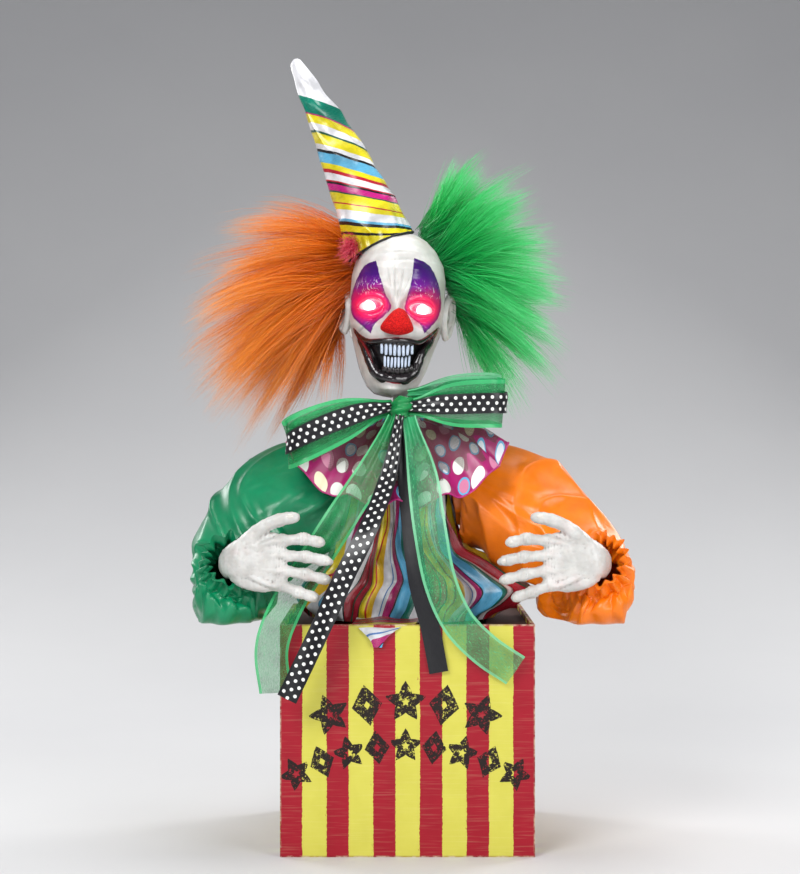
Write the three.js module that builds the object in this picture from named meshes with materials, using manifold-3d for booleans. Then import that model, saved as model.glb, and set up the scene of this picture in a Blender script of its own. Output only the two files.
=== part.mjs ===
// An animated jack-in-the-box clown: a striped display box whose geared rack lifts a clown half-figure.
// Millimetres, +Z up, the front faces -Y, and "left" is the -X side as seen from the front.
// The origin is on the underside of the box, at the middle of its base.
import * as THREE from "three";
import { mergeVertices } from "three/addons/utils/BufferGeometryUtils.js";
import Module from "manifold-3d";

const wasm = await Module();
wasm.setup();

// ---- Driving dimensions ----
const BOX = { width: 204, depth: 204, height: 186, wall: 3 };
const GAP = 0.3; // between pieces that touch
const CLEAR = 0.5; // between pieces that move past each other

const BODY_X = -6; // the figure's middle plane, where the lift post stands
const SHOULDER = { reach: 42, z: 322 }; // the arm pins, each side of the middle plane
const NECK_Z = 378; // the pin that the head rocks on
const HEAD = { x: -10, y: -18, chin: 369, top: 512, halfWidth: 43, front: 58, back: 58, wall: 3 };
const HAT = { base: [-20, -18, 503], tip: [-94, -18, 652], baseRadius: 28, tipRadius: 4.5 };

const RACK = { module: 1.5, top: 125, bottom: 62 }; // its pitch line is the plane x = 0
const OUTPUT = { x: 12, z: 95, pinion: 16, wheel: 32 };
const IDLER = { direction: -50, pinion: 10, wheel: 28 };
const MOTOR = { direction: -80, pinion: 10, radius: 12 };
const TRAIN_MODULE = 1.25;
const PRESSURE_ANGLE = THREE.MathUtils.degToRad(25);
const THINNING = 0.11; // taken off each flank, for backlash
const GUIDE_ROD = { x: -21, radius: 2.5 };
const POST = { outer: 6.5, inner: 4.5 };
const WIRE_RADIUS = 2; // the arm wires
const RIBBON = { wide: 25, narrow: 16, thick: 0.8 };

const TOP_PANEL_Z = 179;
const CHASSIS_TOP = 7;
const FRAME = { near: 16, far: 19, top: 139.7, left: -34, right: 56 };

// ---- Solids and materials ----
const toy = new THREE.Group();
const PAINTS = {
  printed_card: [0xb4172e, 0.55, 0],
  inner_card: [0x3a241c, 0.85, 0],
  black_plastic: [0x17181a, 0.5, 0],
  white_plastic: [0xdad8d2, 0.45, 0],
  steel: [0x9b9da0, 0.3, 1],
  copper_board: [0x1f5b35, 0.5, 0],
  battery_label: [0xc9a227, 0.35, 0.2],
  black_rubber: [0x121212, 0.8, 0],
  striped_satin: [0xd9c926, 0.35, 0],
  green_satin: [0x0a7f3c, 0.35, 0],
  orange_satin: [0xe86a10, 0.35, 0],
  dotted_collar: [0x8f1450, 0.6, 0],
  green_organza: [0x1f9d55, 0.4, 0],
  dotted_ribbon: [0x111214, 0.4, 0],
  vinyl_skin: [0xdedcd4, 0.5, 0],
  mouth_black: [0x0c0b0b, 0.25, 0],
  red_nose: [0xdb1f1c, 0.7, 0],
  eye_glow: [0xff5aa8, 0.3, 0],
  orange_fur: [0xf06a0c, 0.8, 0],
  green_fur: [0x10b14b, 0.8, 0],
};
const paints = Object.fromEntries(
  Object.entries(PAINTS).map(([name, [color, roughness, metalness]]) => [
    name,
    new THREE.MeshStandardMaterial({ name, color, roughness, metalness }),
  ]),
);

function solid(geometry) {
  const bare = geometry.index ? geometry.toNonIndexed() : geometry.clone();
  bare.deleteAttribute("normal");
  bare.deleteAttribute("uv");
  const merged = mergeVertices(bare, 1e-3);
  return new wasm.Manifold(
    new wasm.Mesh({
      numProp: 3,
      vertProperties: merged.attributes.position.array,
      triVerts: new Uint32Array(merged.index.array),
    }),
  );
}

function add(name, paint, shape) {
  const { vertProperties, triVerts } = shape.getMesh();
  const geometry = new THREE.BufferGeometry()
    .setAttribute("position", new THREE.BufferAttribute(vertProperties, 3))
    .setIndex(new THREE.BufferAttribute(triVerts, 1));
  const mesh = new THREE.Mesh(geometry, paints[paint]);
  mesh.name = name;
  toy.add(mesh);
}

// A box from its lowest corner to its highest.
function block([x0, y0, z0], [x1, y1, z1]) {
  const box = new THREE.BoxGeometry(x1 - x0, y1 - y0, z1 - z0);
  return solid(box.translate((x0 + x1) / 2, (y0 + y1) / 2, (z0 + z1) / 2));
}

// Round bars along each axis, from one end to the other.
function rodZ(x, y, radius, z0, z1, sides = 16) {
  const rod = new THREE.CylinderGeometry(radius, radius, z1 - z0, sides).rotateX(Math.PI / 2);
  return solid(rod.translate(x, y, (z0 + z1) / 2));
}
function rodY(x, z, radius, y0, y1, sides = 16) {
  const rod = new THREE.CylinderGeometry(radius, radius, y1 - y0, sides);
  return solid(rod.translate(x, (y0 + y1) / 2, z));
}
function rodX(y, z, radius, x0, x1, sides = 16) {
  const rod = new THREE.CylinderGeometry(radius, radius, x1 - x0, sides).rotateZ(Math.PI / 2);
  return solid(rod.translate((x0 + x1) / 2, y, z));
}

// An outline drawn in X and Z, as thick as y0 to y1.
function plateXZ(shape, y0, y1) {
  const plate = new THREE.ExtrudeGeometry(shape, { depth: y1 - y0, bevelEnabled: false });
  return solid(plate.rotateX(Math.PI / 2).translate(0, y1, 0));
}

function ball([x, y, z], [rx, ry, rz], around = 14, down = 10) {
  const sphere = new THREE.SphereGeometry(1, around, down).rotateX(Math.PI / 2);
  return solid(sphere.scale(rx, ry, rz).translate(x, y, z));
}

const union = (first, ...others) => others.reduce((whole, piece) => whole.add(piece), first);
const without = (first, ...others) => others.reduce((whole, piece) => whole.subtract(piece), first);

// Closes a stack of equal rings into one solid, with a flat cap at each end.
function skin(rings) {
  const sides = rings[0].length;
  const points = [...rings.flat(), middle(rings[0]), middle(rings.at(-1))];
  const [startCap, endCap] = [points.length - 2, points.length - 1];
  const last = (rings.length - 1) * sides;
  const faces = [];
  for (let side = 0; side < sides; side++) {
    const next = (side + 1) % sides;
    for (let ring = 0; ring < rings.length - 1; ring++) {
      const [a, b] = [ring * sides + side, ring * sides + next];
      faces.push(a, b, b + sides, a, b + sides, a + sides);
    }
    faces.push(startCap, next, side, endCap, last + side, last + next);
  }
  const geometry = new THREE.BufferGeometry().setFromPoints(points).setIndex(faces);
  const made = solid(geometry);
  if (made.volume() > 0) return made;
  return solid(geometry.setIndex(faces.toReversed()));
}
function middle(ring) {
  return ring.reduce((sum, p) => sum.add(p), new THREE.Vector3()).divideScalar(ring.length);
}

// A smooth tube through stations of [x, y, z, half thickness, half height].
function loft(stations, sides = 12, steps = 12) {
  const path = new THREE.CatmullRomCurve3(stations.map(([x, y, z]) => new THREE.Vector3(x, y, z)));
  const sizes = new THREE.CatmullRomCurve3(
    stations.map(([, , , thick, high]) => new THREE.Vector3(thick, high ?? thick, 0)),
  );
  const up = new THREE.Vector3(0, 0, 1);
  const rings = [];
  for (let step = 0; step <= steps; step++) {
    const along = path.getTangent(step / steps);
    const across = new THREE.Vector3().crossVectors(along, up).normalize();
    const upright = new THREE.Vector3().crossVectors(across, along);
    const [centre, size] = [path.getPoint(step / steps), sizes.getPoint(step / steps)];
    rings.push(
      Array.from({ length: sides }, (_, side) => {
        const turn = (side / sides) * Math.PI * 2;
        return centre
          .clone()
          .addScaledVector(across, size.x * Math.cos(turn))
          .addScaledVector(upright, size.y * Math.sin(turn));
      }),
    );
  }
  return skin(rings);
}

// A ribbon along a route, standing on edge where the route is level. Its width leans towards the direction given.
function ribbon(route, width, steps, widthTowards) {
  const path = new THREE.CatmullRomCurve3(route.map((p) => new THREE.Vector3(...p)));
  const towards = new THREE.Vector3(...widthTowards);
  const rings = [];
  for (let step = 0; step <= steps; step++) {
    const [centre, along] = [path.getPoint(step / steps), path.getTangent(step / steps)];
    const across = towards.clone().addScaledVector(along, -towards.dot(along)).normalize();
    const out = new THREE.Vector3().crossVectors(along, across);
    rings.push(
      [
        [-1, -1],
        [1, -1],
        [1, 1],
        [-1, 1],
      ].map(([w, t]) =>
        centre
          .clone()
          .addScaledVector(across, (w * width) / 2)
          .addScaledVector(out, (t * RIBBON.thick) / 2),
      ),
    );
  }
  return skin(rings);
}

// ---- The printed box ----
function makeBox() {
  const [w, d, h, t] = [BOX.width / 2, BOX.depth / 2, BOX.height, BOX.wall];
  const [insideX, insideY] = [w - t - GAP, d - t - GAP];
  add("front_panel", "printed_card", block([-w, -d, 0], [w, -d + t, h]));
  add("left_panel", "printed_card", block([-w, -insideY, 0], [-w + t, insideY, h]));
  add("right_panel", "printed_card", block([w - t, -insideY, 0], [w, insideY, h]));
  add("base_panel", "inner_card", block([-insideX, -insideY, 0], [insideX, insideY, t]));

  const opening = new THREE.Shape();
  const [ox, oy, corner] = [70, 62, 20];
  opening.moveTo(-ox + corner, -oy);
  opening.lineTo(ox - corner, -oy).absarc(ox - corner, -oy + corner, corner, -Math.PI / 2, 0);
  opening.absarc(ox - corner, oy - corner, corner, 0, Math.PI / 2);
  opening.absarc(-ox + corner, oy - corner, corner, Math.PI / 2, Math.PI);
  opening.absarc(-ox + corner, -oy + corner, corner, Math.PI, Math.PI * 1.5);
  const hole = (grow, z, depth) =>
    solid(
      new THREE.ExtrudeGeometry(opening, { depth, bevelEnabled: false, curveSegments: 4 })
        .scale(1 + grow / ox, 1 + grow / oy, 1)
        .translate(BODY_X + 2, 0, z),
    );
  const top = block([-insideX, -insideY, TOP_PANEL_Z], [insideX, insideY, TOP_PANEL_Z + t]);
  add("top_panel", "inner_card", top.subtract(hole(0, TOP_PANEL_Z - 1, t + 2)));
  const hemZ = TOP_PANEL_Z + t + GAP;
  add("shirt_hem", "striped_satin", hole(12, hemZ, 2).subtract(hole(2, hemZ - 1, 4)));
}

// ---- Battery case, its door, the switch, speaker and board, all on the back ----
const DOOR = { halfWidth: 33, bottom: 27, top: 87, hingeY: 100.2 };
const SWITCH = { x: 62, z: 57 };
const SPEAKER = { x: 0, z: 136, radius: 25 };

function makeBack() {
  const [w, d, t] = [BOX.width / 2, BOX.depth / 2, BOX.wall];
  const { halfWidth, bottom, top, hingeY } = DOOR;
  const doorway = block(
    [-halfWidth - CLEAR, d - t - 1, bottom - 2],
    [halfWidth + CLEAR, d + 1, top + CLEAR],
  );
  const slot = block([SWITCH.x - 7, d - t - 1, SWITCH.z - 3], [SWITCH.x + 7, d + 1, SWITCH.z + 3]);
  const soundHoles = [rodY(SPEAKER.x, SPEAKER.z, 3.5, d - t - 1, d + 1, 8)];
  for (let hole = 0; hole < 6; hole++) {
    const turn = (hole / 6) * Math.PI * 2;
    const [x, z] = [SPEAKER.x + 12 * Math.cos(turn), SPEAKER.z + 12 * Math.sin(turn)];
    soundHoles.push(rodY(x, z, 3.5, d - t - 1, d + 1, 8));
  }
  const back = block([-w, d - t, 0], [w, d, BOX.height]);
  add("back_panel", "printed_card", without(back, doorway, slot, ...soundHoles));

  // The case is a tray that opens backwards, behind the doorway.
  const caseOuter = block([-36, 77, 22], [36, d - t - GAP, 92]);
  const caseInner = block([-31, 79, 29], [31, d, 85]);
  add("battery_case", "black_plastic", caseOuter.subtract(caseInner));
  for (let cell = 0; cell < 3; cell++) {
    const z = 38.5 + cell * 18.5;
    const can = rodX(88, z, 7.2, -25, 25, 12);
    add("battery_" + (cell + 1), "battery_label", can.add(rodX(88, z, 2.7, 24, 27.5, 8)));
  }

  // The door turns on its rounded lower edge, and has a finger ridge at the top. Nothing stands proud of the back.
  const leaf = block([-halfWidth, hingeY - 1.2, bottom + 1], [halfWidth, hingeY + 1.2, top]);
  const knuckle = rodX(hingeY, bottom + 1, 1.2, -halfWidth, halfWidth, 12);
  const tab = block([-8, hingeY + 1, top - 8], [8, d - 0.1, top - 3]);
  add("battery_door", "black_plastic", union(leaf, knuckle, tab));

  const housing = block([SWITCH.x - 12, 86, SWITCH.z - 6], [SWITCH.x + 12, d - t - GAP, SWITCH.z + 6]);
  const track = block([SWITCH.x - 8, 91, SWITCH.z - 2.6], [SWITCH.x + 8, d, SWITCH.z + 2.6]);
  add("switch_housing", "black_plastic", housing.subtract(track));
  const knob = block([SWITCH.x - 2.5, d - 7, SWITCH.z - 2], [SWITCH.x + 2.5, d - GAP, SWITCH.z + 2]);
  add("switch_knob", "white_plastic", knob);

  const basket = new THREE.CylinderGeometry(SPEAKER.radius, 14, 12, 20).translate(
    SPEAKER.x,
    d - t - GAP - 6,
    SPEAKER.z,
  );
  const magnet = rodY(SPEAKER.x, SPEAKER.z, 14, d - t - 22, d - t - 12, 20);
  add("speaker", "black_plastic", solid(basket).add(magnet));

  const board = block([60, 30, 7.6], [92, 70, 9.2]);
  const chips = [block([66, 36, 9], [78, 48, 12]), block([70, 56, 9], [86, 62, 16])];
  add("circuit_board", "copper_board", union(board, ...chips));
}

// ---- Gears ----
// An involute gear drawn about the origin, with a tooth centred on the angle given.
function gearShape(module, teeth, toothAt) {
  const pitch = (module * teeth) / 2;
  const base = pitch * Math.cos(PRESSURE_ANGLE);
  const [root, tip] = [pitch - 1.1 * module, pitch + 0.8 * module];
  const involute = (radius) => {
    const angle = Math.acos(Math.min(1, base / radius));
    return Math.tan(angle) - angle;
  };
  const half = (radius) =>
    Math.PI / (2 * teeth) - THINNING / pitch + involute(pitch) - involute(Math.max(radius, base));
  const radii = [root, pitch, tip];
  const shape = new THREE.Shape();
  for (let tooth = 0; tooth < teeth; tooth++) {
    const centre = toothAt + (tooth / teeth) * Math.PI * 2;
    const up = radii.map((radius) => [radius, centre - half(radius)]);
    const down = radii.toReversed().map((radius) => [radius, centre + half(radius)]);
    for (const [radius, angle] of [...up, ...down]) {
      const point = [radius * Math.cos(angle), radius * Math.sin(angle)];
      if (shape.curves.length || shape.currentPoint.length()) shape.lineTo(...point);
      else shape.moveTo(...point);
    }
  }
  return shape;
}
function gear(module, teeth, toothAt, at, y0, y1) {
  return plateXZ(gearShape(module, teeth, toothAt), y0, y1).translate([at.x, 0, at.z]);
}
function stepFrom(from, degrees, distance) {
  const turn = THREE.MathUtils.degToRad(degrees);
  return { x: from.x + distance * Math.cos(turn), z: from.z + distance * Math.sin(turn) };
}

// The axles, worked out from the tooth counts, and the wheels' places along Y.
const idlerAt = stepFrom(OUTPUT, IDLER.direction, (TRAIN_MODULE * (OUTPUT.wheel + IDLER.pinion)) / 2);
const motorAt = stepFrom(idlerAt, MOTOR.direction, (TRAIN_MODULE * (IDLER.wheel + MOTOR.pinion)) / 2);
const FRONT_WHEEL = [-12, -7.5];
const REAR_WHEEL = [8, 12.5];

function makeGearTrain() {
  const radians = THREE.MathUtils.degToRad;
  const [toIdler, toMotor] = [radians(IDLER.direction), radians(MOTOR.direction)];
  const outputGear = union(
    gear(RACK.module, OUTPUT.pinion, Math.PI, OUTPUT, -5, 5),
    gear(TRAIN_MODULE, OUTPUT.wheel, toIdler, OUTPUT, ...FRONT_WHEEL),
    rodY(OUTPUT.x, OUTPUT.z, 5, -8, -4),
    rodY(OUTPUT.x, OUTPUT.z, 2.5, -21, 21),
  );
  add("output_gear", "white_plastic", outputGear);
  const idlerGear = union(
    gear(TRAIN_MODULE, IDLER.pinion, toIdler + Math.PI + Math.PI / IDLER.pinion, idlerAt, ...FRONT_WHEEL),
    gear(TRAIN_MODULE, IDLER.wheel, toMotor, idlerAt, ...REAR_WHEEL),
    rodY(idlerAt.x, idlerAt.z, 3.5, -8, 9),
    rodY(idlerAt.x, idlerAt.z, 2, -21, 21),
  );
  add("idler_gear", "white_plastic", idlerGear);
  const motorPinion = union(
    gear(TRAIN_MODULE, MOTOR.pinion, toMotor + Math.PI + Math.PI / MOTOR.pinion, motorAt, ...REAR_WHEEL),
    rodY(motorAt.x, motorAt.z, 1.5, 6, 26, 10),
  );
  add("motor_pinion", "steel", motorPinion);

  const can = rodY(motorAt.x, motorAt.z, MOTOR.radius, FRAME.far + GAP, 49, 20);
  const shaftHole = rodY(motorAt.x, motorAt.z, 2.1, FRAME.far - 1, 28, 10);
  const tail = rodY(motorAt.x, motorAt.z, 4, 48, 52, 12);
  add("drive_motor", "steel", can.add(tail).subtract(shaftHole));
}

// ---- The fixed chassis and the rack that it guides ----
function makeChassis() {
  const plate = block([-60, -45, BOX.wall + GAP], [58, 60, CHASSIS_TOP]);
  add("chassis_base", "black_plastic", plate);
  const axleHoles = (y0, y1, motorHole) => [
    rodY(OUTPUT.x, OUTPUT.z, 2.5 + CLEAR, y0, y1),
    rodY(idlerAt.x, idlerAt.z, 2 + CLEAR, y0, y1),
    rodY(motorAt.x, motorAt.z, motorHole, y0, y1),
  ];
  const { near, far, top, left, right } = FRAME;
  const side = (y0, y1) => block([left, y0, CHASSIS_TOP + GAP], [right, y1, top]);
  const front = without(side(-far, -near), ...axleHoles(-far - 1, -near + 1, 8));
  const rear = without(side(near, far), ...axleHoles(near - 1, far + 1, 4));
  add("front_frame", "black_plastic", front);
  add("rear_frame", "black_plastic", rear);

  const bridge = block([left, -far, top + GAP], [right, far, top + GAP + 4]);
  const passage = block([BODY_X - 7.5, -7.5, top - 1], [BODY_X + 8.2, 7.5, top + 6]);
  add("upper_guide", "black_plastic", bridge.subtract(passage));
  const rod = rodZ(GUIDE_ROD.x, 0, GUIDE_ROD.radius, CHASSIS_TOP + GAP, top);
  add("guide_rod", "steel", rod);

  // A compression spring round the guide rod carries the figure's weight.
  const [turns, radius, low, high] = [5, 5.2, CHASSIS_TOP + 1.2, RACK.bottom - 1.2];
  const coil = new THREE.Curve();
  coil.getPoint = (t) => {
    const angle = t * turns * Math.PI * 2;
    const [x, y] = [GUIDE_ROD.x + radius * Math.cos(angle), radius * Math.sin(angle)];
    return new THREE.Vector3(x, y, low + (high - low) * t);
  };
  const wire = new THREE.Shape().absarc(0, 0, 0.7, 0, Math.PI * 2);
  const spring = { steps: turns * 8, extrudePath: coil, curveSegments: 3, bevelEnabled: false };
  add("lift_spring", "steel", solid(new THREE.ExtrudeGeometry(wire, spring)));
}

function makeCarriage() {
  const pitch = Math.PI * RACK.module;
  const [root, tip] = [-1.1 * RACK.module, 0.8 * RACK.module];
  const halfAt = (x) => pitch / 4 - THINNING - x * Math.tan(PRESSURE_ANGLE);
  const outline = new THREE.Shape();
  outline.moveTo(BODY_X - 4, RACK.bottom);
  outline.lineTo(root, RACK.bottom);
  const first = Math.ceil((RACK.bottom - OUTPUT.z) / pitch + 0.5);
  const last = Math.floor((RACK.top - OUTPUT.z) / pitch - 1);
  for (let tooth = first; tooth <= last; tooth++) {
    const centre = OUTPUT.z + (tooth + 0.5) * pitch;
    outline.lineTo(root, centre - halfAt(root));
    outline.lineTo(tip, centre - halfAt(tip));
    outline.lineTo(tip, centre + halfAt(tip));
    outline.lineTo(root, centre + halfAt(root));
  }
  outline.lineTo(root, RACK.top);
  outline.lineTo(BODY_X - 4, RACK.top);
  const rack = plateXZ(outline, -5, 5);
  const guide = block([GUIDE_ROD.x - 8, -9, RACK.bottom], [BODY_X - 3.5, 9, RACK.bottom + 30]);
  const bore = rodZ(GUIDE_ROD.x, 0, GUIDE_ROD.radius + CLEAR, RACK.bottom - 1, RACK.bottom + 31);
  const spigot = rodZ(BODY_X, 0, POST.inner - GAP, RACK.top - 1, RACK.top + 14, 12);
  add("lift_carriage", "white_plastic", union(rack, guide, spigot).subtract(bore));
}

// ---- The figure's frame ----
function makeFigureFrame() {
  const [foot, head] = [RACK.top + GAP, NECK_Z - 14];
  const tube = rodZ(BODY_X, 0, POST.outer, foot, head).subtract(
    rodZ(BODY_X, 0, POST.inner, foot - 1, head - 8, 12),
  );
  const fork = union(
    block([BODY_X - 6, -9, head - 6], [BODY_X + 6, 9, head]),
    block([BODY_X - 6, -9, head - 1], [BODY_X + 6, -6, NECK_Z + 6]),
    block([BODY_X - 6, 6, head - 1], [BODY_X + 6, 9, NECK_Z + 6]),
  );
  const pinHole = rodY(BODY_X, NECK_Z, 2.5 + GAP, -10, 10);
  add("lift_post", "white_plastic", tube.add(fork).subtract(pinHole));
  add("neck_pin", "steel", rodY(BODY_X, NECK_Z, 2.5, -10.5, 10.5));

  const { reach, z } = SHOULDER;
  const bar = union(
    block([BODY_X - 35, -9, z - 6], [BODY_X + 35, 9, z + 6]),
    ...[-1, 1].flatMap((side) => [
      ...[-1, 1].map((face) => {
        const [xs, ys] = [[side * 34, side * 46], [face * 5, face * 9]].map((p) => p.sort((a, b) => a - b));
        return block([BODY_X + xs[0], ys[0], z - 5], [BODY_X + xs[1], ys[1], z + 5]);
      }),
      rodY(BODY_X + side * reach, z, 3, -9, 9),
    ]),
  );
  const postHole = rodZ(BODY_X, 0, POST.outer + GAP, z - 10, z + 10);
  add("shoulder_bar", "white_plastic", bar.subtract(postHole));
}

// ---- Arms: a bent wire, a full sleeve and a vinyl hand on each side ----
const HAND_TURN = { left: -138, right: 150 }; // each wrist's x
const LEFT_WIRE = [
  [-54, 0, 320],
  [-72, -1, 310],
  [-98, -5, 297],
  [-138, -20, 258],
  [-149, -50, 224],
  [-146, -80, 227],
  [-142, -103, 235],
  [-137, -113, 237],
  [-124, -119, 238],
];
const LEFT_SLEEVE = [
  [-59, 0, 299, 41],
  [-98, -5, 296, 44],
  [-140, -20, 260, 42],
  [-150, -50, 219, 38],
  [-147, -82, 226, 29],
  [-143, -99, 234, 20],
];
const PALM = [
  [-142, -107, 236, 8, 13],
  [-133, -116, 238, 8, 17],
  [-114, -120, 239, 8, 22],
  [-97, -120, 236, 6.5, 22],
];
const FINGERS = [
  [[-100, 253], [-82, 254], [-65, 251]],
  [[-100, 242], [-80, 241], [-60, 237]],
  [[-100, 231], [-80, 227], [-60, 222]],
  [[-101, 219], [-86, 213], [-71, 208]],
];
const THUMB = [
  [-130, -117, 252, 6],
  [-118, -122, 265, 6],
  [-102, -123, 271, 5],
  [-87, -121, 273, 4],
];

function makeArm(side) {
  const isLeft = side === "left";
  // The right arm mirrors the left one, and reaches a little further out at the wrist.
  const shoulderX = 2 * BODY_X;
  const wristX = HAND_TURN.left + HAND_TURN.right;
  const place = ([x, y, z, ...rest], handward = THREE.MathUtils.smoothstep(-y, 2, 45)) =>
    isLeft ? [x, y, z, ...rest] : [THREE.MathUtils.lerp(shoulderX, wristX, handward) - x, y, z, ...rest];
  const sizeTo = (radius) => ([x, y, z]) => [x, y, z, radius];

  const route = LEFT_WIRE.map((p) => place(p));
  const bentWire = (radius) => loft(route.map(sizeTo(radius)), 6, 16);
  const pinX = BODY_X + (isLeft ? -SHOULDER.reach : SHOULDER.reach);
  const eye = rodY(pinX, SHOULDER.z, 6, -4, 4).subtract(rodY(pinX, SHOULDER.z, 3.4, -5, 5));
  const stub = block([pinX - (isLeft ? 8.5 : -4.5), -1.8, 318.5], [pinX + (isLeft ? -4.5 : 8.5), 1.8, 322]);
  add(side + "_arm_wire", "steel", union(eye, stub, bentWire(WIRE_RADIUS)));

  const channel = bentWire(WIRE_RADIUS + 0.7);
  const sleeve = loft(LEFT_SLEEVE.map((p) => place(p)), 14, 9).subtract(channel);
  add(isLeft ? "green_sleeve" : "orange_sleeve", isLeft ? "green_satin" : "orange_satin", sleeve);

  const finger = ([knuckle, joint, tip]) =>
    loft(
      [
        [knuckle[0], -120, knuckle[1], 5],
        [joint[0], -123, joint[1], 4.6],
        [tip[0] - 3, -121, tip[1], 4],
        [tip[0], -120, tip[1], 2.2],
      ].map((p) => place(p, 1)),
      6,
      4,
    );
  const hand = union(
    loft(PALM.map((p) => place(p, 1)), 10, 5),
    loft(THUMB.map((p) => place(p, 1)), 6, 4),
    ...FINGERS.map(finger),
  );
  add(side + "_hand", "vinyl_skin", hand.subtract(channel));
}

// ---- Shirt, collar and bow ----
const SHIRT = [
  // z, middle x, half width, half depth
  [208, 4, 70, 60],
  [226, 2, 66, 60],
  [246, BODY_X, 48, 57],
  [272, BODY_X, 41, 54],
  [312, BODY_X, 39, 47],
  [338, BODY_X, 33, 38],
  [350, BODY_X, 20, 24],
];

function makeShirt() {
  const sides = 16;
  const shell = (inset, lowest, highest) => {
    const sizes = new THREE.CatmullRomCurve3(SHIRT.map(([, x, w, d]) => new THREE.Vector3(x, w - inset, d - inset)));
    const heights = new THREE.CatmullRomCurve3(SHIRT.map(([z]) => new THREE.Vector3(0, 0, z)));
    const rings = Array.from({ length: 8 }, (_, step) => {
      const [size, z] = [sizes.getPoint(step / 7), heights.getPoint(step / 7).z];
      const level = THREE.MathUtils.mapLinear(z, SHIRT[0][0], SHIRT.at(-1)[0], lowest, highest);
      return Array.from({ length: sides }, (_, side) => {
        const turn = (side / sides) * Math.PI * 2;
        return new THREE.Vector3(size.x + size.y * Math.cos(turn), size.z * Math.sin(turn), level);
      });
    });
    return skin(rings);
  };
  const outer = shell(0, SHIRT[0][0], SHIRT.at(-1)[0]);
  const inner = shell(3, SHIRT[0][0] - 1, SHIRT.at(-1)[0] - 3);
  const neck = rodZ(BODY_X, 0, POST.outer + 1, 330, 360);
  const armholes = block([BODY_X - 60, -11, SHOULDER.z - 9], [BODY_X + 60, 11, SHOULDER.z + 9]);
  add("shirt_body", "striped_satin", without(outer, inner, neck, armholes));

  // The collar is a bib that fans out over the chest from the neck.
  const segments = 14;
  const rings = Array.from({ length: segments + 1 }, (_, step) => {
    const turn = THREE.MathUtils.degToRad(THREE.MathUtils.lerp(-78, 78, step / segments));
    const [s, c] = [Math.sin(turn), Math.cos(turn)];
    const inner = new THREE.Vector3(BODY_X + 24 * s, -22 - 12 * c, 349);
    const outer = new THREE.Vector3(BODY_X + 88 * s, -52 - 32 * c, 330 - 38 * c);
    const thick = new THREE.Vector3(0, -1.2, 0.6);
    return [inner, outer, outer.clone().add(thick), inner.clone().add(thick)];
  });
  add("collar", "dotted_collar", skin(rings));
}

// Each tail's route, from the knot down to its free end.
const TAILS = {
  dotted_tail: [
    [-8, -86, 341],
    [-14, -98, 302],
    [-31, -124, 264],
    [-49, -131.5, 228],
    [-65, -131.5, 193],
    [-80, -131.5, 161],
    [-95, -130, 130],
  ],
  organza_tail_left: [
    [-17, -83, 335],
    [-29, -91, 309],
    [-51, -104, 274],
    [-72, -107.5, 238],
    [-92, -107.5, 202],
    [-106, -107.5, 172],
    [-109, -107.5, 130],
  ],
  black_tail: [
    [-3, -80, 327],
    [1, -91, 285],
    [8, -104.6, 223],
    [18, -105, 184],
    [25, -105, 148],
  ],
  organza_tail_right: [
    [6, -82.5, 337],
    [12, -91, 308],
    [18, -104, 262],
    [26, -108.5, 221],
    [40, -109, 189],
    [61, -109, 167],
    [85, -109, 151],
  ],
};
const BOW_Y = -74;
const LOOPS = {
  left: [
    [-16, -3, 352],
    [-50, -8, 348],
    [-88, -7.5, 336],
    [-94, 0, 333],
    [-88, 7.5, 336],
    [-50, 8, 348],
    [-16, 3, 352],
  ],
  right: [
    [4, -3, 353],
    [38, -8, 361],
    [70, -7.5, 364],
    [76, 0, 364],
    [70, 7.5, 364],
    [38, 8, 360],
    [4, 3, 353],
  ],
};

function makeBow() {
  // The ribbon is tied round the neck, above the collar.
  const band = rodZ(BODY_X, 0, POST.outer + 3.5, 351.5, 356.5).subtract(
    rodZ(BODY_X, 0, POST.outer + GAP, 350, 358),
  );
  const tie = block([BODY_X - 4, BOW_Y, 351.5], [BODY_X + 4, -POST.outer - 1, 356.5]);
  const knot = ball([BODY_X, BOW_Y, 351], [8.5, 8, 11], 12, 8);
  add("bow_knot", "green_organza", union(knot, tie, band));
  const upright = [0, 0, 1];
  for (const side of ["left", "right"]) {
    const route = LOOPS[side].map(([x, y, z]) => [x, BOW_Y + y, z]);
    add("organza_loop_" + side, "green_organza", ribbon(route, RIBBON.wide + 7, 12, upright));
    // The dotted ribbon lies round the outside of the organza one.
    const outside = LOOPS[side].map(([x, y, z]) => [
      x + (Math.abs(x - BODY_X) > 75 ? Math.sign(x - BODY_X) * 2.5 : 0),
      BOW_Y + y * 1.32,
      z,
    ]);
    add("dotted_loop_" + side, "dotted_ribbon", ribbon(outside, RIBBON.narrow, 12, upright));
  }
  for (const [name, route] of Object.entries(TAILS)) {
    const wide = name.startsWith("organza");
    const paint = wide ? "green_organza" : "dotted_ribbon";
    add(name, paint, ribbon(route, wide ? RIBBON.wide : RIBBON.narrow, 10, [1, 0, 0.3]));
  }
}

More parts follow.
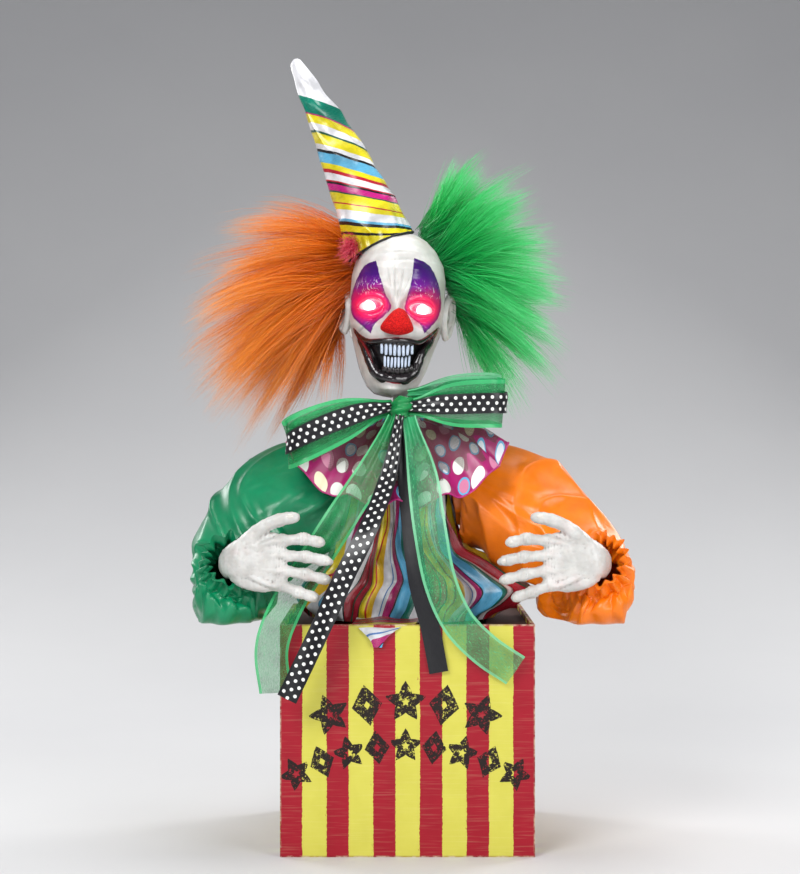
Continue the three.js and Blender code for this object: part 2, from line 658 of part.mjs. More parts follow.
// ---- The head ----
// The head's outline, taken in by an inset: a skull that narrows to the jaw, with a flat nape.
function headSolid(inset, around = 20, down = 14) {
  const sphere = new THREE.SphereGeometry(1, around, down).rotateX(Math.PI / 2);
  const places = sphere.attributes.position;
  const half = (HEAD.top - HEAD.chin) / 2;
  for (let i = 0; i < places.count; i++) {
    const [x, y, z] = [places.getX(i), places.getY(i), places.getZ(i)];
    const ring = Math.hypot(x, y);
    const fullness = z > 0 ? (1 - Math.abs(z) ** 2.6) ** (1 / 2.6) : ring;
    const scale = ring > 1e-6 ? fullness / ring : 0;
    const nape = THREE.MathUtils.lerp(0.62, 1, THREE.MathUtils.smoothstep(z, -0.9, 0.1));
    const depth = y < 0 ? HEAD.front : HEAD.back * nape;
    places.setXYZ(
      i,
      HEAD.x + x * scale * (HEAD.halfWidth - inset),
      HEAD.y + y * scale * (depth - inset),
      HEAD.chin + half + z * (half - inset),
    );
  }
  return solid(sphere);
}
const EYES = { spread: 22.5, z: 444 };
const NOSE = { x: -7, z: 428 };
const MOUTH = { x: -8, z: 398, halfWidth: 29, corner: 418, floor: 381 };

function makeHead() {
  const outer = headSolid(0);
  const [shell, seam] = [outer.subtract(headSolid(HEAD.wall)), HEAD.y];
  const neckHole = rodZ(BODY_X, 0, 20, HEAD.chin - 10, HEAD.chin + 34, 20);
  const eyeHoles = [-1, 1].map((side) => rodY(HEAD.x + side * EYES.spread, EYES.z, 8, -90, -40, 12));
  const grin = new THREE.Shape();
  grin.moveTo(MOUTH.x - MOUTH.halfWidth, MOUTH.corner);
  grin.quadraticCurveTo(MOUTH.x, MOUTH.corner - 14, MOUTH.x + MOUTH.halfWidth, MOUTH.corner);
  grin.quadraticCurveTo(MOUTH.x + 16, MOUTH.floor - 2, MOUTH.x, MOUTH.floor);
  grin.quadraticCurveTo(MOUTH.x - 16, MOUTH.floor - 2, MOUTH.x - MOUTH.halfWidth, MOUTH.corner);
  const mouthHole = solid(
    new THREE.ExtrudeGeometry(grin, { depth: 60, bevelEnabled: false, curveSegments: 5 })
      .rotateX(Math.PI / 2)
      .translate(0, -35, 0),
  );
  const front = block([-90, -110, 340], [70, seam, 540]);
  const rear = block([-90, seam + GAP, 340], [70, 80, 540]);
  add("face_shell", "vinyl_skin", without(shell.intersect(front), neckHole, mouthHole, ...eyeHoles));

  const ear = (side, grow) =>
    ball([HEAD.x + side * 44, HEAD.y + 13, 436], [5 + grow, 10 + grow, 21 + grow], 10, 8);
  const ears = [-1, 1].map((side) => ear(side, 0).subtract(headSolid(1)));
  const rearShell = union(shell.intersect(rear).subtract(neckHole), ...ears.map((e) => e.intersect(rear)));
  add("rear_shell", "vinyl_skin", rearShell);

  const mouthRegion = block([MOUTH.x - 32, -110, MOUTH.floor - 4], [MOUTH.x + 32, seam - 12, MOUTH.corner + 3]);
  const lining = headSolid(HEAD.wall + 0.5).subtract(headSolid(HEAD.wall + 3.5));
  add("mouth_insert", "mouth_black", lining.intersect(mouthRegion).subtract(neckHole));

  const lamps = [-1, 1].map((side) => ball([HEAD.x + side * EYES.spread, -56.5, EYES.z], [9, 9, 9], 12, 8));
  const bridge = block([HEAD.x - EYES.spread, -52, EYES.z - 4], [HEAD.x + EYES.spread, -48, EYES.z + 4]);
  const behindFace = headSolid(HEAD.wall + 0.5);
  const sockets = [-1, 1].map((side) => rodY(HEAD.x + side * EYES.spread, EYES.z, 7.5, -90, -40, 12));
  add("eye_unit", "eye_glow", union(bridge, ...lamps).intersect(union(behindFace, ...sockets)));

  const nose = ball([NOSE.x, -75, NOSE.z], [17, 13, 13], 14, 10);
  add("nose", "red_nose", nose.subtract(headSolid(-0.4)));

  // The stem hangs on the neck pin and carries a crossbar that both shells are glued to.
  const eyelet = rodY(BODY_X, NECK_Z, 7, -4, 4).subtract(rodY(BODY_X, NECK_Z, 2.5 + 0.4, -5, 5));
  const stem = block([BODY_X - 4, -4, NECK_Z + 6], [BODY_X + 4, 4, 428]);
  const crossbar = block([HEAD.x - 45, HEAD.y - 4, 420], [HEAD.x + 45, 4, 428]);
  add("head_stem", "white_plastic", union(eyelet, stem, crossbar.intersect(headSolid(HEAD.wall + GAP))));

  const hatShape = (grow) => {
    const [base, tip] = [HAT.base, HAT.tip].map((p) => new THREE.Vector3(...p));
    const stations = [0, 0.5, 1].map((t) => [
      ...base.clone().lerp(tip, t).toArray(),
      THREE.MathUtils.lerp(HAT.baseRadius, HAT.tipRadius, t) + grow,
    ]);
    return loft(stations, 16, 4);
  };
  add("hat", "striped_satin", hatShape(0).subtract(headSolid(-0.4)));

  const keepOut = [headSolid(-1), hatShape(1), ear(-1, 1), ear(1, 1)];
  const orangeTuft = [
    [-42, -6, 468, 28, 38],
    [-76, -6, 470, 36, 64],
    [-112, -6, 456, 36, 72],
    [-142, -6, 444, 27, 54],
    [-160, -6, 436, 12, 28],
  ];
  const greenTuft = [
    [22, -6, 476, 28, 42],
    [50, -6, 484, 35, 68],
    [82, -6, 486, 36, 80],
    [108, -6, 476, 27, 60],
    [124, -6, 470, 12, 30],
  ];
  add("orange_hair", "orange_fur", without(loft(orangeTuft, 12, 7), ...keepOut));
  add("green_hair", "green_fur", without(loft(greenTuft, 12, 7), ...keepOut));
}

// ---- Leads inside the box ----
function makeLeads() {
  const lead = (name, route) => {
    const points = route.map((p) => new THREE.Vector3(...p));
    const section = new THREE.Shape().absarc(0, 0, 1.2, 0, Math.PI * 2);
    const path = new THREE.CatmullRomCurve3(points);
    const along = { steps: 14, extrudePath: path, curveSegments: 4, bevelEnabled: false };
    add(name, "black_rubber", solid(new THREE.ExtrudeGeometry(section, along)));
  };
  lead("battery_lead", [
    [36.5, 88, 34],
    [46, 88, 30],
    [60, 84, 18],
    [72, 78, 13],
    [78, 71.5, 12],
  ]);
  lead("motor_lead", [
    [33, 53.5, 52],
    [40, 62, 46],
    [56, 72, 30],
    [62, 76, 16],
    [66, 71.5, 12],
  ]);
}

makeBox();
makeBack();
makeChassis();
makeGearTrain();
makeCarriage();
makeFigureFrame();
makeArm("left");
makeArm("right");
makeShirt();
makeBow();
makeHead();
makeLeads();

export default toy;
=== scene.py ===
"""Looks for the animated clown jack-in-the-box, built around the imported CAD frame.

Lengths are in millimetres until a mesh is made, and mesh() turns them into metres.
X is to the right, -Y is the front and Z is up."""
import math

import bpy
import numpy as np
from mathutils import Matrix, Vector


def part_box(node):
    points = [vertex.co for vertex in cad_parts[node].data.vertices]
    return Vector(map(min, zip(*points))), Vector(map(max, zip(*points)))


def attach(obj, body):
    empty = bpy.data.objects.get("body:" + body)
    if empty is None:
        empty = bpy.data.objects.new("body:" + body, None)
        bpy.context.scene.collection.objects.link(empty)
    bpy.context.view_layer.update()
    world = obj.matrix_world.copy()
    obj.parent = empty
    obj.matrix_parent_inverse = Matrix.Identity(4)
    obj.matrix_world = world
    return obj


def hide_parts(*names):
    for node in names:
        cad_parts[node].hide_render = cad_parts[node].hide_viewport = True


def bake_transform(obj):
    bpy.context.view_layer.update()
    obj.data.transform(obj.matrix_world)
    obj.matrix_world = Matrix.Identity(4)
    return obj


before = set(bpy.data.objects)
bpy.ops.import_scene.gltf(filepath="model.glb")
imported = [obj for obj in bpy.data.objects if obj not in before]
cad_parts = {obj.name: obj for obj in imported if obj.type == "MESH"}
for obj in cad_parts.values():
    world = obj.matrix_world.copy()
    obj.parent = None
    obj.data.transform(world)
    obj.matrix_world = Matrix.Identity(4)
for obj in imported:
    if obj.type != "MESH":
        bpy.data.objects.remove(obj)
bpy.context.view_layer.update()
MM = 0.001
PI = math.pi
scene = bpy.context.scene


def box_mm(node):
    """A CAD node's lowest and highest corners, in millimetres."""
    lo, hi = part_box(node)
    return np.array(lo) / MM, np.array(hi) / MM


# ---- Numbers and curves ----
def smooth(x, start, end):
    """0 before start, 1 after end, and an even blend between. start may be the larger."""
    t = np.clip((np.asarray(x, float) - start) / (end - start), 0, 1)
    return t * t * (3 - 2 * t)


def spline(points, count):
    """A Catmull-Rom curve through the rows of points, at evenly spaced places along it."""
    p = np.asarray(points, float)
    p = np.vstack([2 * p[0] - p[1], p, 2 * p[-1] - p[-2]])
    spans = len(p) - 3
    fine = np.linspace(0, spans, spans * 24 + 1)
    k = np.minimum(fine.astype(int), spans - 1)
    t = (fine - k)[:, None]
    a, b, c, d = p[k], p[k + 1], p[k + 2], p[k + 3]
    curve = 0.5 * (2 * b + (c - a) * t + (2 * a - 5 * b + 4 * c - d) * t**2 + (3 * b - a - 3 * c + d) * t**3)
    run = run_along(curve[:, :3])
    where = np.linspace(0, run[-1], count)
    return np.stack([np.interp(where, run, column) for column in curve.T], 1)


def unit(v):
    return v / np.maximum(np.linalg.norm(v, axis=-1, keepdims=True), 1e-9)


def run_along(path):
    """How far along a path each of its points is."""
    return np.r_[0, np.cumsum(np.linalg.norm(np.diff(path, axis=0), axis=1))]


def hump(x, middle, width):
    """1 at the middle, and falling away smoothly to each side."""
    return np.exp(-(((x - middle) / width) ** 2))


def dim(colour, share):
    return tuple(share * c for c in colour)


def ripple(points, size, seed, waves=14):
    """A smooth random field of about -1 to 1, whose bumps are about size across."""
    draw = np.random.default_rng(seed)
    heading = unit(draw.normal(size=(waves, points.shape[-1])))
    pitch = 2 * PI / (size * draw.uniform(0.7, 1.8, waves))
    phase = draw.uniform(0, 2 * PI, waves)
    return np.sin((points @ heading.T) * pitch + phase).sum(-1) / math.sqrt(waves * 0.9)


def inside(x, z, outline):
    """Distance in from a closed outline: positive inside it and negative outside."""
    a = np.asarray(outline, float)
    b = np.roll(a, -1, axis=0)
    p = np.stack([x, z], -1)[..., None, :]
    ab = b - a
    t = np.clip(((p - a) * ab).sum(-1) / np.maximum((ab**2).sum(-1), 1e-9), 0, 1)
    near = np.linalg.norm(p - a - t[..., None] * ab, axis=-1).min(-1)
    crossing = (a[:, 1] > p[..., 1]) != (b[:, 1] > p[..., 1])
    slope = np.where(np.abs(ab[:, 1]) < 1e-9, 1e-9, ab[:, 1])
    hits = crossing & (p[..., 0] < ab[:, 0] * (p[..., 1] - a[:, 1]) / slope + a[:, 0])
    return np.where(hits.sum(-1) % 2 == 1, near, -near)


def outline(*sides, count=24):
    """A closed outline from curved sides that meet at sharp corners."""
    return np.vstack([spline(side, count)[:-1] for side in sides])


# ---- Materials ----
class Paint:
    """A node material, with a short call for each kind of node that it needs."""

    def __init__(self, name, base=(0.8, 0.8, 0.8), rough=0.5, **sockets):
        self.material = bpy.data.materials.new(name)
        self.material.use_nodes = True
        self.nodes = self.material.node_tree.nodes
        self.links = self.material.node_tree.links
        self.shader = self.nodes["Principled BSDF"]
        self.set("Base Color", base)
        self.set("Roughness", rough)
        for socket, value in sockets.items():
            self.set(socket.replace("_", " "), value)

    def put(self, socket, value):
        if isinstance(value, bpy.types.NodeSocket):
            self.links.new(value, socket)
        elif isinstance(value, (tuple, list)) and len(value) == 3 and len(socket.default_value) == 4:
            socket.default_value = (*value, 1)
        else:
            socket.default_value = value

    def set(self, socket, value):
        self.put(self.shader.inputs[socket], value)

    def node(self, kind, inputs=(), out=0, **settings):
        made = self.nodes.new("ShaderNode" + kind)
        for key, value in settings.items():
            setattr(made, key, value)
        for key, value in dict(inputs).items():
            self.put(made.inputs[key], value)
        return made.outputs[out]

    def math(self, operation, a, b=0.0, clamp=False):
        return self.node("Math", {0: a, 1: b}, operation=operation, use_clamp=clamp)

    def most(self, a, b):
        return self.math("MAXIMUM", a, b)

    def size(self, a):
        return self.math("ABSOLUTE", a)

    def add(self, a, b):
        return self.math("ADD", a, b)

    def times(self, a, b):
        return self.math("MULTIPLY", a, b)

    def where(self, kind="Object"):
        return self.node("TexCoord", out={"Generated": 0, "UV": 2, "Object": 3}[kind])

    def attribute(self, name):
        return self.node("Attribute", out="Fac", attribute_name=name)

    def scaled(self, vector, scale, turn=(0, 0, 0)):
        return self.node("Mapping", {"Vector": vector, "Scale": scale, "Rotation": turn})

    def xyz(self, vector):
        split = self.nodes.new("ShaderNodeSeparateXYZ")
        self.put(split.inputs[0], vector)
        return split.outputs

    def noise(self, vector, size_mm, detail=3.0, rough=0.55, out="Fac"):
        scale = 1000.0 / size_mm
        return self.node("TexNoise", {"Vector": vector, "Scale": scale, "Detail": detail, "Roughness": rough},
                         out=out)

    def wobble(self, vector, size_mm, detail, reach):
        """Noise about 0, which runs to about half the reach each way."""
        return self.times(self.add(self.noise(vector, size_mm, detail), -0.5), reach)

    def roughened(self, value, low, high):
        """Roughness that follows a noise, from low to high."""
        self.set("Roughness", self.spread(value, 0.3, 0.7, low, high))

    def band(self, value, start, end):
        """0 before start, 1 after end, and smooth between."""
        inputs = {"Value": value, "From Min": start, "From Max": end, "To Min": 0.0, "To Max": 1.0}
        return self.node("MapRange", inputs, interpolation_type="SMOOTHSTEP")

    def spread(self, value, start, end, low=0.0, high=1.0):
        inputs = {"Value": value, "From Min": start, "From Max": end, "To Min": low, "To Max": high}
        return self.node("MapRange", inputs)

    def mix(self, amount, a, b, blend="MIX"):
        made = self.nodes.new("ShaderNodeMix")
        made.data_type, made.blend_type = "RGBA", blend
        self.put(made.inputs[0], amount)
        self.put(made.inputs[6], a)
        self.put(made.inputs[7], b)
        return made.outputs[2]

    def ramp(self, value, stops, steps=False):
        made = self.nodes.new("ShaderNodeValToRGB")
        made.color_ramp.interpolation = "CONSTANT" if steps else "LINEAR"
        marks = made.color_ramp.elements
        while len(marks) < len(stops):
            marks.new(0.5)
        for mark, (place, colour) in zip(marks, stops):
            mark.position = place
        for mark, (place, colour) in zip(marks, stops):
            mark.color = (*colour, 1)
        self.put(made.inputs[0], value)
        return made.outputs[0]

    def bump(self, *layers):
        """Adds relief to the shader: each layer is (height, how high in millimetres)."""
        normal = None
        for height, depth_mm in layers:
            inputs = {"Height": height, "Distance": depth_mm * MM, "Strength": 1.0}
            if normal is not None:
                inputs["Normal"] = normal
            normal = self.node("Bump", inputs)
        self.set("Normal", normal)


# ---- Meshes ----
def mesh(name, points, faces, paint, body=None, uv=None, shade=True, **attributes):
    """An object from points in millimetres. uv holds a pair for each face corner, also in millimetres."""
    data = bpy.data.meshes.new(name)
    data.from_pydata((np.asarray(points, float).reshape(-1, 3) * MM).tolist(), [], faces)
    if uv is not None:
        layer = data.uv_layers.new(name="UVMap")
        layer.data.foreach_set("uv", (np.asarray(uv, np.float32) * MM).ravel())
    for key, values in attributes.items():
        held = data.attributes.new(key, "FLOAT", "POINT")
        held.data.foreach_set("value", np.asarray(values, np.float32).ravel())
    if shade:
        data.polygons.foreach_set("use_smooth", [True] * len(data.polygons))
    data.materials.append(paint.material)
    data.validate()
    made = bpy.data.objects.new(name, data)
    scene.collection.objects.link(made)
    if body:
        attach(made, body)
    return made


def quads_of(n, m, wrap):
    """The four-sided faces of n rows of m points, and the row and column of each one's first corner."""
    i, j = np.meshgrid(np.arange(n - 1), np.arange(m if wrap else m - 1), indexing="ij")
    i, j = i.ravel(), j.ravel()
    k = (j + 1) % m
    return np.stack([i * m + j, i * m + k, (i + 1) * m + k, (i + 1) * m + j], 1), i, j


def merged(name, parts, paint, body, **more):
    """One object from grids of points. Each part is (rows, wrap, caps): wrap joins each row's ends, and caps
    closes the first and last rows."""
    points, faces, start = [], [], 0
    for rows, wrap, caps in parts:
        n, m = rows.shape[:2]
        faces += (quads_of(n, m, wrap)[0] + start).tolist()
        if caps:
            last = start + (n - 1) * m
            faces += [list(range(start, start + m))[::-1], list(range(last, last + m))]
        points.append(rows.reshape(-1, 3))
        start += n * m
    return mesh(name, np.vstack(points), faces, paint, body, **more)


def grid(name, rows, paint, body=None, uv=None, wrap=False, caps=False, **more):
    """A surface through one grid of points. uv is a grid of pairs, for a surface without wrap or caps."""
    rows = np.asarray(rows, float)
    if uv is not None:
        _, i, j = quads_of(*rows.shape[:2], wrap)
        more["uv"] = np.stack([uv[i, j], uv[i, j + 1], uv[i + 1, j + 1], uv[i + 1, j]], 1).reshape(-1, 2)
    return merged(name, [(rows, wrap, caps)], paint, body, **more)


def placed(made, slot, *nodes):
    """Hides the CAD nodes that a piece stands in for, and returns the piece. slot is not used."""
    if nodes:
        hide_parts(*nodes)
    return made


def frames(path, towards):
    """At each point of a path: along it, across it (leaning towards the direction given) and out of it."""
    along = unit(np.gradient(path, axis=0))
    towards = np.broadcast_to(np.asarray(towards, float), along.shape)
    across = unit(towards - (towards * along).sum(-1, keepdims=True) * along)
    return along, across, np.cross(along, across)


def tube(path, radii, sides, towards=(0, 0, 1)):
    """Rings of points round a path. Each radius is one number, or two: across and out."""
    _, across, out = frames(path, towards)
    turn = np.linspace(0, 2 * PI, sides, endpoint=False)
    radii = np.asarray(radii, float)
    r1, r2 = (radii[:, 0], radii[:, 1]) if radii.ndim == 2 else (radii, radii)
    return (
        path[:, None]
        + across[:, None] * (r1[:, None] * np.cos(turn))[..., None]
        + out[:, None] * (r2[:, None] * np.sin(turn))[..., None]
    )


def tube_mesh(name, path, radii, sides, paint, body=None, towards=(0, 0, 1), **more):
    return grid(name, tube(path, radii, sides, towards), paint, body, wrap=True, caps=True, **more)


def modify(made, kind, **settings):
    step = made.modifiers.new(kind.title(), kind)
    for key, value in settings.items():
        setattr(step, key, value)
    return step


# ---- Camera, light and floor ----
CAMERA_DISTANCE = 1600.0  # from the camera to the box's front
EYE = np.array([-6.0, -CAMERA_DISTANCE - 101.5, 336.0])


def make_stage():
    lens = bpy.data.cameras.new("camera")
    lens.sensor_width, lens.lens = 36.0, 82.4  # millimetres
    lens.clip_start, lens.clip_end = 0.05, 50
    camera = bpy.data.objects.new("camera", lens)
    camera.location = Vector(EYE * MM)
    camera.rotation_euler = (PI / 2, 0, 0)
    scene.collection.objects.link(camera)
    scene.camera = camera

    floor = Paint("pale_floor", (0.62, 0.62, 0.63), 0.75)
    place = floor.where()
    floor.set("Base Color", floor.mix(floor.noise(place, 400, 4), (0.6, 0.6, 0.61), (0.66, 0.66, 0.66)))
    size = 3.0
    rows = []
    for x in np.linspace(-size, size, 3):
        # Flat out to behind the box, and then a sweep that rises ever more steeply
        profile = [(y, 3.6 * max(0.0, (y - 0.3) / 3.0) ** 3)
                   for y in np.r_[-size, np.linspace(-0.5, 3.3, 90)]]
        rows.append([(x / MM, y / MM, z / MM) for y, z in profile])
    stage = grid("floor", np.array(rows), floor)

    world = bpy.data.worlds.new("studio")
    scene.world = world
    world.use_nodes = True
    world.node_tree.nodes["Background"].inputs[0].default_value = (0.9, 0.92, 1, 1)
    world.node_tree.nodes["Background"].inputs[1].default_value = 0.2
    target = Vector((0, 0, 0.33))
    lamps = [
        ("key", (-0.75, -1.5, 1.35), 0.9, 27),
        ("fill", (1.1, -1.3, 0.7), 1.0, 14),
        ("low", (0.0, -1.7, 0.12), 0.5, 2.5),
        ("top", (0.1, 0.1, 1.6), 0.9, 12),
        ("rim_left", (-1.2, 0.9, 0.9), 0.6, 10),
        ("rim_right", (1.2, 0.9, 0.9), 0.6, 10),
    ]
    for name, place, size, watts in lamps:
        lamp = bpy.data.lights.new(name, "AREA")
        lamp.shape, lamp.size, lamp.energy = "DISK", size, watts
        held = bpy.data.objects.new(name, lamp)
        held.location = place
        held.rotation_euler = (target - Vector(place)).to_track_quat("-Z", "Y").to_euler()
        scene.collection.objects.link(held)
    scene.view_settings.view_transform = "Standard"


# ---- The box ----
YELLOW_INK, DARK_INK = (0.65, 0.61, 0.10), (0.010, 0.004, 0.003)
BOX_HALF = 102.0  # half of the box's width
STRIPES = (17.8, 19.5)  # widths of a red and a yellow stripe


def printed_paint(name, along, marks):
    """Card printed with upright stripes with brushed edges. along is the axis that they step along."""
    paint = Paint(name, YELLOW_INK, 0.5, Specular_IOR_Level=0.25, Coat_Weight=0.05, Coat_Roughness=0.3)
    place = paint.where()
    x, y, z = paint.xyz(place)
    run = {"x": x, "y": y}[along]
    half = BOX_HALF * MM
    long_grain = paint.scaled(place, (1, 1, 0.22))
    wander = paint.wobble(long_grain, 14, 4, 2.6 * MM)
    fray = paint.wobble(place, 1.6, 2, 1.5 * MM)
    at = paint.add(paint.add(run, half), paint.add(wander, fray))
    period = sum(STRIPES) * MM
    turn = paint.math("PINGPONG", paint.add(at, -STRIPES[0] / 2 * MM), period / 2)
    yellow = paint.band(turn, (STRIPES[0] / 2 - 0.12) * MM, (STRIPES[0] / 2 + 0.12) * MM)
    mottle = paint.noise(place, 22, 5)
    red = paint.mix(mottle, (0.27, 0.0015, 0.012), (0.36, 0.004, 0.018))
    cream = paint.mix(mottle, (0.54, 0.50, 0.06), YELLOW_INK)
    colour = paint.mix(yellow, red, cream)
    flecks = paint.band(paint.noise(paint.scaled(place, (1, 1, 0.35)), 2.4, 2, 0.7), 0.70, 0.735)
    close = paint.band(paint.size(paint.add(turn, -STRIPES[0] / 2 * MM)), 3.4 * MM, 1.0 * MM)
    colour = paint.mix(paint.times(paint.times(flecks, close), 0.8), colour, (0.30, 0.004, 0.015))
    lines = paint.noise(paint.scaled(place, (0.03, 0.03, 1)), 1.1, 2)
    colour = paint.mix(paint.times(paint.band(lines, 0.52, 0.75), 0.07), colour, (0.9, 0.78, 0.5))
    if marks:
        colour = paint.mix(stamp_rows(paint, x, z, place), colour, DARK_INK)
    edge_x = paint.band(paint.size(run), half - 1.6 * MM, half - 0.2 * MM)
    edge_z = paint.band(paint.size(paint.add(z, -93 * MM)), 91.2 * MM, 92.8 * MM)
    edges = paint.most(edge_x, edge_z)
    worn = paint.times(edges, paint.band(paint.noise(place, 7, 5, 0.7), 0.42, 0.62))
    colour = paint.mix(paint.times(edges, 0.55), colour, (0.16, 0.012, 0.012))
    colour = paint.mix(paint.times(worn, 0.75), colour, (0.62, 0.5, 0.36))
    paint.set("Base Color", colour)
    paint.roughened(paint.noise(place, 9, 4), 0.36, 0.5)
    paint.bump((paint.noise(place, 60, 2), 0.6), (lines, 0.03), (worn, -0.15))
    return paint


def stamp_rows(paint, x, z, place):
    """Two arched rows of worn stamped stars and lozenges on the front: how much ink covers each point."""
    wobble = paint.wobble(place, 3.2, 3, 1.3 * MM)
    ink = None
    # Each row: its circle's middle and radius, the marks to each side of the middle one, pitch and size
    for centre_z, radius, last, pitch, size in [(-63.0, 187.0, 2, 31.0, 10.8), (-93.0, 182.0, 4, 22.8, 8.9)]:
        dx, dz = paint.add(x, 1.5 * MM), paint.add(z, -centre_z * MM)
        turn = paint.times(paint.math("ARCTAN2", dx, dz), radius / pitch)
        index = paint.math("ROUND", turn)
        u = paint.times(paint.add(turn, paint.times(index, -1.0)), pitch * MM)
        reach = paint.math("SQRT", paint.add(paint.times(dx, dx), paint.times(dz, dz)))
        v = paint.add(reach, -radius * MM)
        across = paint.math("ARCTAN2", u, v)
        far = paint.math("SQRT", paint.add(paint.times(u, u), paint.times(v, v)))
        fold = paint.math("PINGPONG", across, PI / 5)
        star = paint.times(far, paint.add(0.62, paint.times(fold, 0.98)))
        lozenge = paint.add(paint.times(paint.size(u), 0.86), paint.times(paint.size(v), 0.64))
        odd = paint.size(paint.math("MODULO", index, 2.0))
        shape = paint.add(paint.times(star, paint.add(1.0, paint.times(odd, -1.0))),
                          paint.times(lozenge, odd))
        reachable = paint.math("LESS_THAN", paint.size(index), last + 0.5)
        mark = paint.band(paint.add(shape, wobble), size * MM, (size - 0.35) * MM)
        middle = paint.band(shape, 1.9 * MM, 2.4 * MM)
        mark = paint.times(paint.times(mark, middle), reachable)
        ink = mark if ink is None else paint.most(ink, mark)
    scuffed = paint.band(paint.noise(place, 2.1, 4, 0.75), 0.62, 0.56)
    return paint.times(ink, scuffed)


def card_paint():
    paint = Paint("inner_card", (0.05, 0.02, 0.015), 0.8)
    place = paint.where()
    fibres = paint.noise(paint.scaled(place, (0.3, 1, 1)), 1.2, 4, 0.7)
    colour = paint.mix(paint.noise(place, 30, 4), (0.028, 0.008, 0.006), (0.06, 0.020, 0.014))
    paint.set("Base Color", paint.mix(paint.times(fibres, 0.35), colour, (0.09, 0.036, 0.024)))
    paint.bump((fibres, 0.06))
    return paint


def dress(node, paint, bevel_mm=0.0):
    """Gives a CAD node its material, and softens its edges."""
    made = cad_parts[node]
    for slot in made.material_slots:
        slot.material = paint.material
    if not made.material_slots:
        made.data.materials.append(paint.material)
    if bevel_mm:
        modify(made, "BEVEL", width=bevel_mm * MM, segments=3, limit_method="ANGLE",
               angle_limit=math.radians(40))
    return made


def make_box():
    front = printed_paint("printed_front", "x", True)
    plain = printed_paint("printed_back", "x", False)
    side = printed_paint("printed_side", "y", False)
    dress("front_panel", front, 0.9)
    dress("back_panel", plain, 0.5)
    dress("left_panel", side, 0.6)
    dress("right_panel", side, 0.6)
    inner = card_paint()
    dress("top_panel", inner, 0.5)
    dress("base_panel", inner, 0.4)


# ---- Cloth ----
SATIN = dict(Sheen_Weight=0.05, Sheen_Roughness=0.3, Specular_IOR_Level=0.5)


def satin_paint(name, dark, light, wrinkle_mm=0.13):
    paint = Paint(name, light, 0.34, **SATIN)
    paint.set("Anisotropic", 0.4)
    cloth = paint.where("UV")
    place = paint.where()
    # Painted shade: the colour runs between a shaded and a lit copy in broad blotches, like light and shade
    # on folds
    tone = paint.add(paint.times(paint.noise(place, 55, 3), 0.7), paint.times(paint.noise(place, 9, 3), 0.3))
    colour = paint.mix(paint.spread(tone, 0.30, 0.62, 0.35, 1.0), dark, light)
    threads = paint.noise(paint.scaled(cloth, (1, 0.06, 1)), 0.5, 2)
    paint.set("Base Color", paint.mix(paint.times(threads, 0.18), colour, dim(light, 0.35)))
    paint.roughened(threads, 0.28, 0.42)
    creases = paint.noise(paint.scaled(place, (1, 1, 1.6)), 16, 3, 0.45)
    paint.bump((creases, wrinkle_mm), (paint.noise(place, 4.5, 3), 0.06), (threads, 0.012))
    return paint


STRIPE_SATIN = [  # colour, width in millimetres
    ((0.42, 0.008, 0.14), 7.5),
    ((0.01, 0.01, 0.012), 1.2),
    ((0.10, 0.42, 0.68), 10.0),
    ((0.0, 0.14, 0.10), 8.5),
    ((0.78, 0.79, 0.82), 11.5),
    ((0.01, 0.01, 0.012), 1.2),
    ((0.36, 0.006, 0.022), 8.5),
    ((0.0, 0.10, 0.06), 2.2),
    ((0.42, 0.008, 0.03), 6.5),
    ((0.01, 0.01, 0.012), 1.5),
    ((0.80, 0.62, 0.01), 8.5),
    ((0.50, 0.015, 0.012), 1.4),
    ((0.82, 0.50, 0.01), 5.0),
    ((0.76, 0.77, 0.80), 9.0),
    ((0.08, 0.20, 0.50), 1.6),
    ((0.72, 0.74, 0.78), 4.0),
]


def stripes(paint, value, bands):
    """Colours in steps, as value runs from 0 to 1 over the bands."""
    total = sum(width for _, width in bands)
    at, stops = 0.0, []
    for colour, width in bands:
        stops.append((at / total, colour))
        at += width
    return paint.ramp(value, stops, steps=True)


def shirt_paint():
    paint = Paint("striped_satin", (0.7, 0.7, 0.7), 0.3, **SATIN)
    paint.set("Anisotropic", 0.4)
    cloth = paint.where("UV")
    x, y = paint.xyz(cloth)[:2]
    sway = paint.wobble(paint.scaled(cloth, (1, 0.7, 1)), 60, 1, 26 * MM)
    run = paint.add(x, paint.add(sway, paint.times(y, 0.12)))
    total = sum(width for _, width in STRIPE_SATIN) * MM
    colour = stripes(paint, paint.math("FRACT", paint.math("DIVIDE", run, total)), STRIPE_SATIN)
    threads = paint.noise(paint.scaled(cloth, (1, 0.06, 1)), 0.5, 2)
    place = paint.where()
    # Painted shade: broad patches darkened up to half way to black, like the shade in folds
    blotch_shade = paint.noise(place, 24, 3)
    colour = paint.mix(paint.times(paint.band(blotch_shade, 0.62, 0.34), 0.5), colour, (0.0, 0.0, 0.0))
    paint.set("Base Color", paint.mix(paint.times(threads, 0.15), colour, (0.02, 0.02, 0.02)))
    paint.roughened(threads, 0.22, 0.38)
    paint.bump((paint.noise(place, 10, 4), 0.3), (threads, 0.012))
    return paint


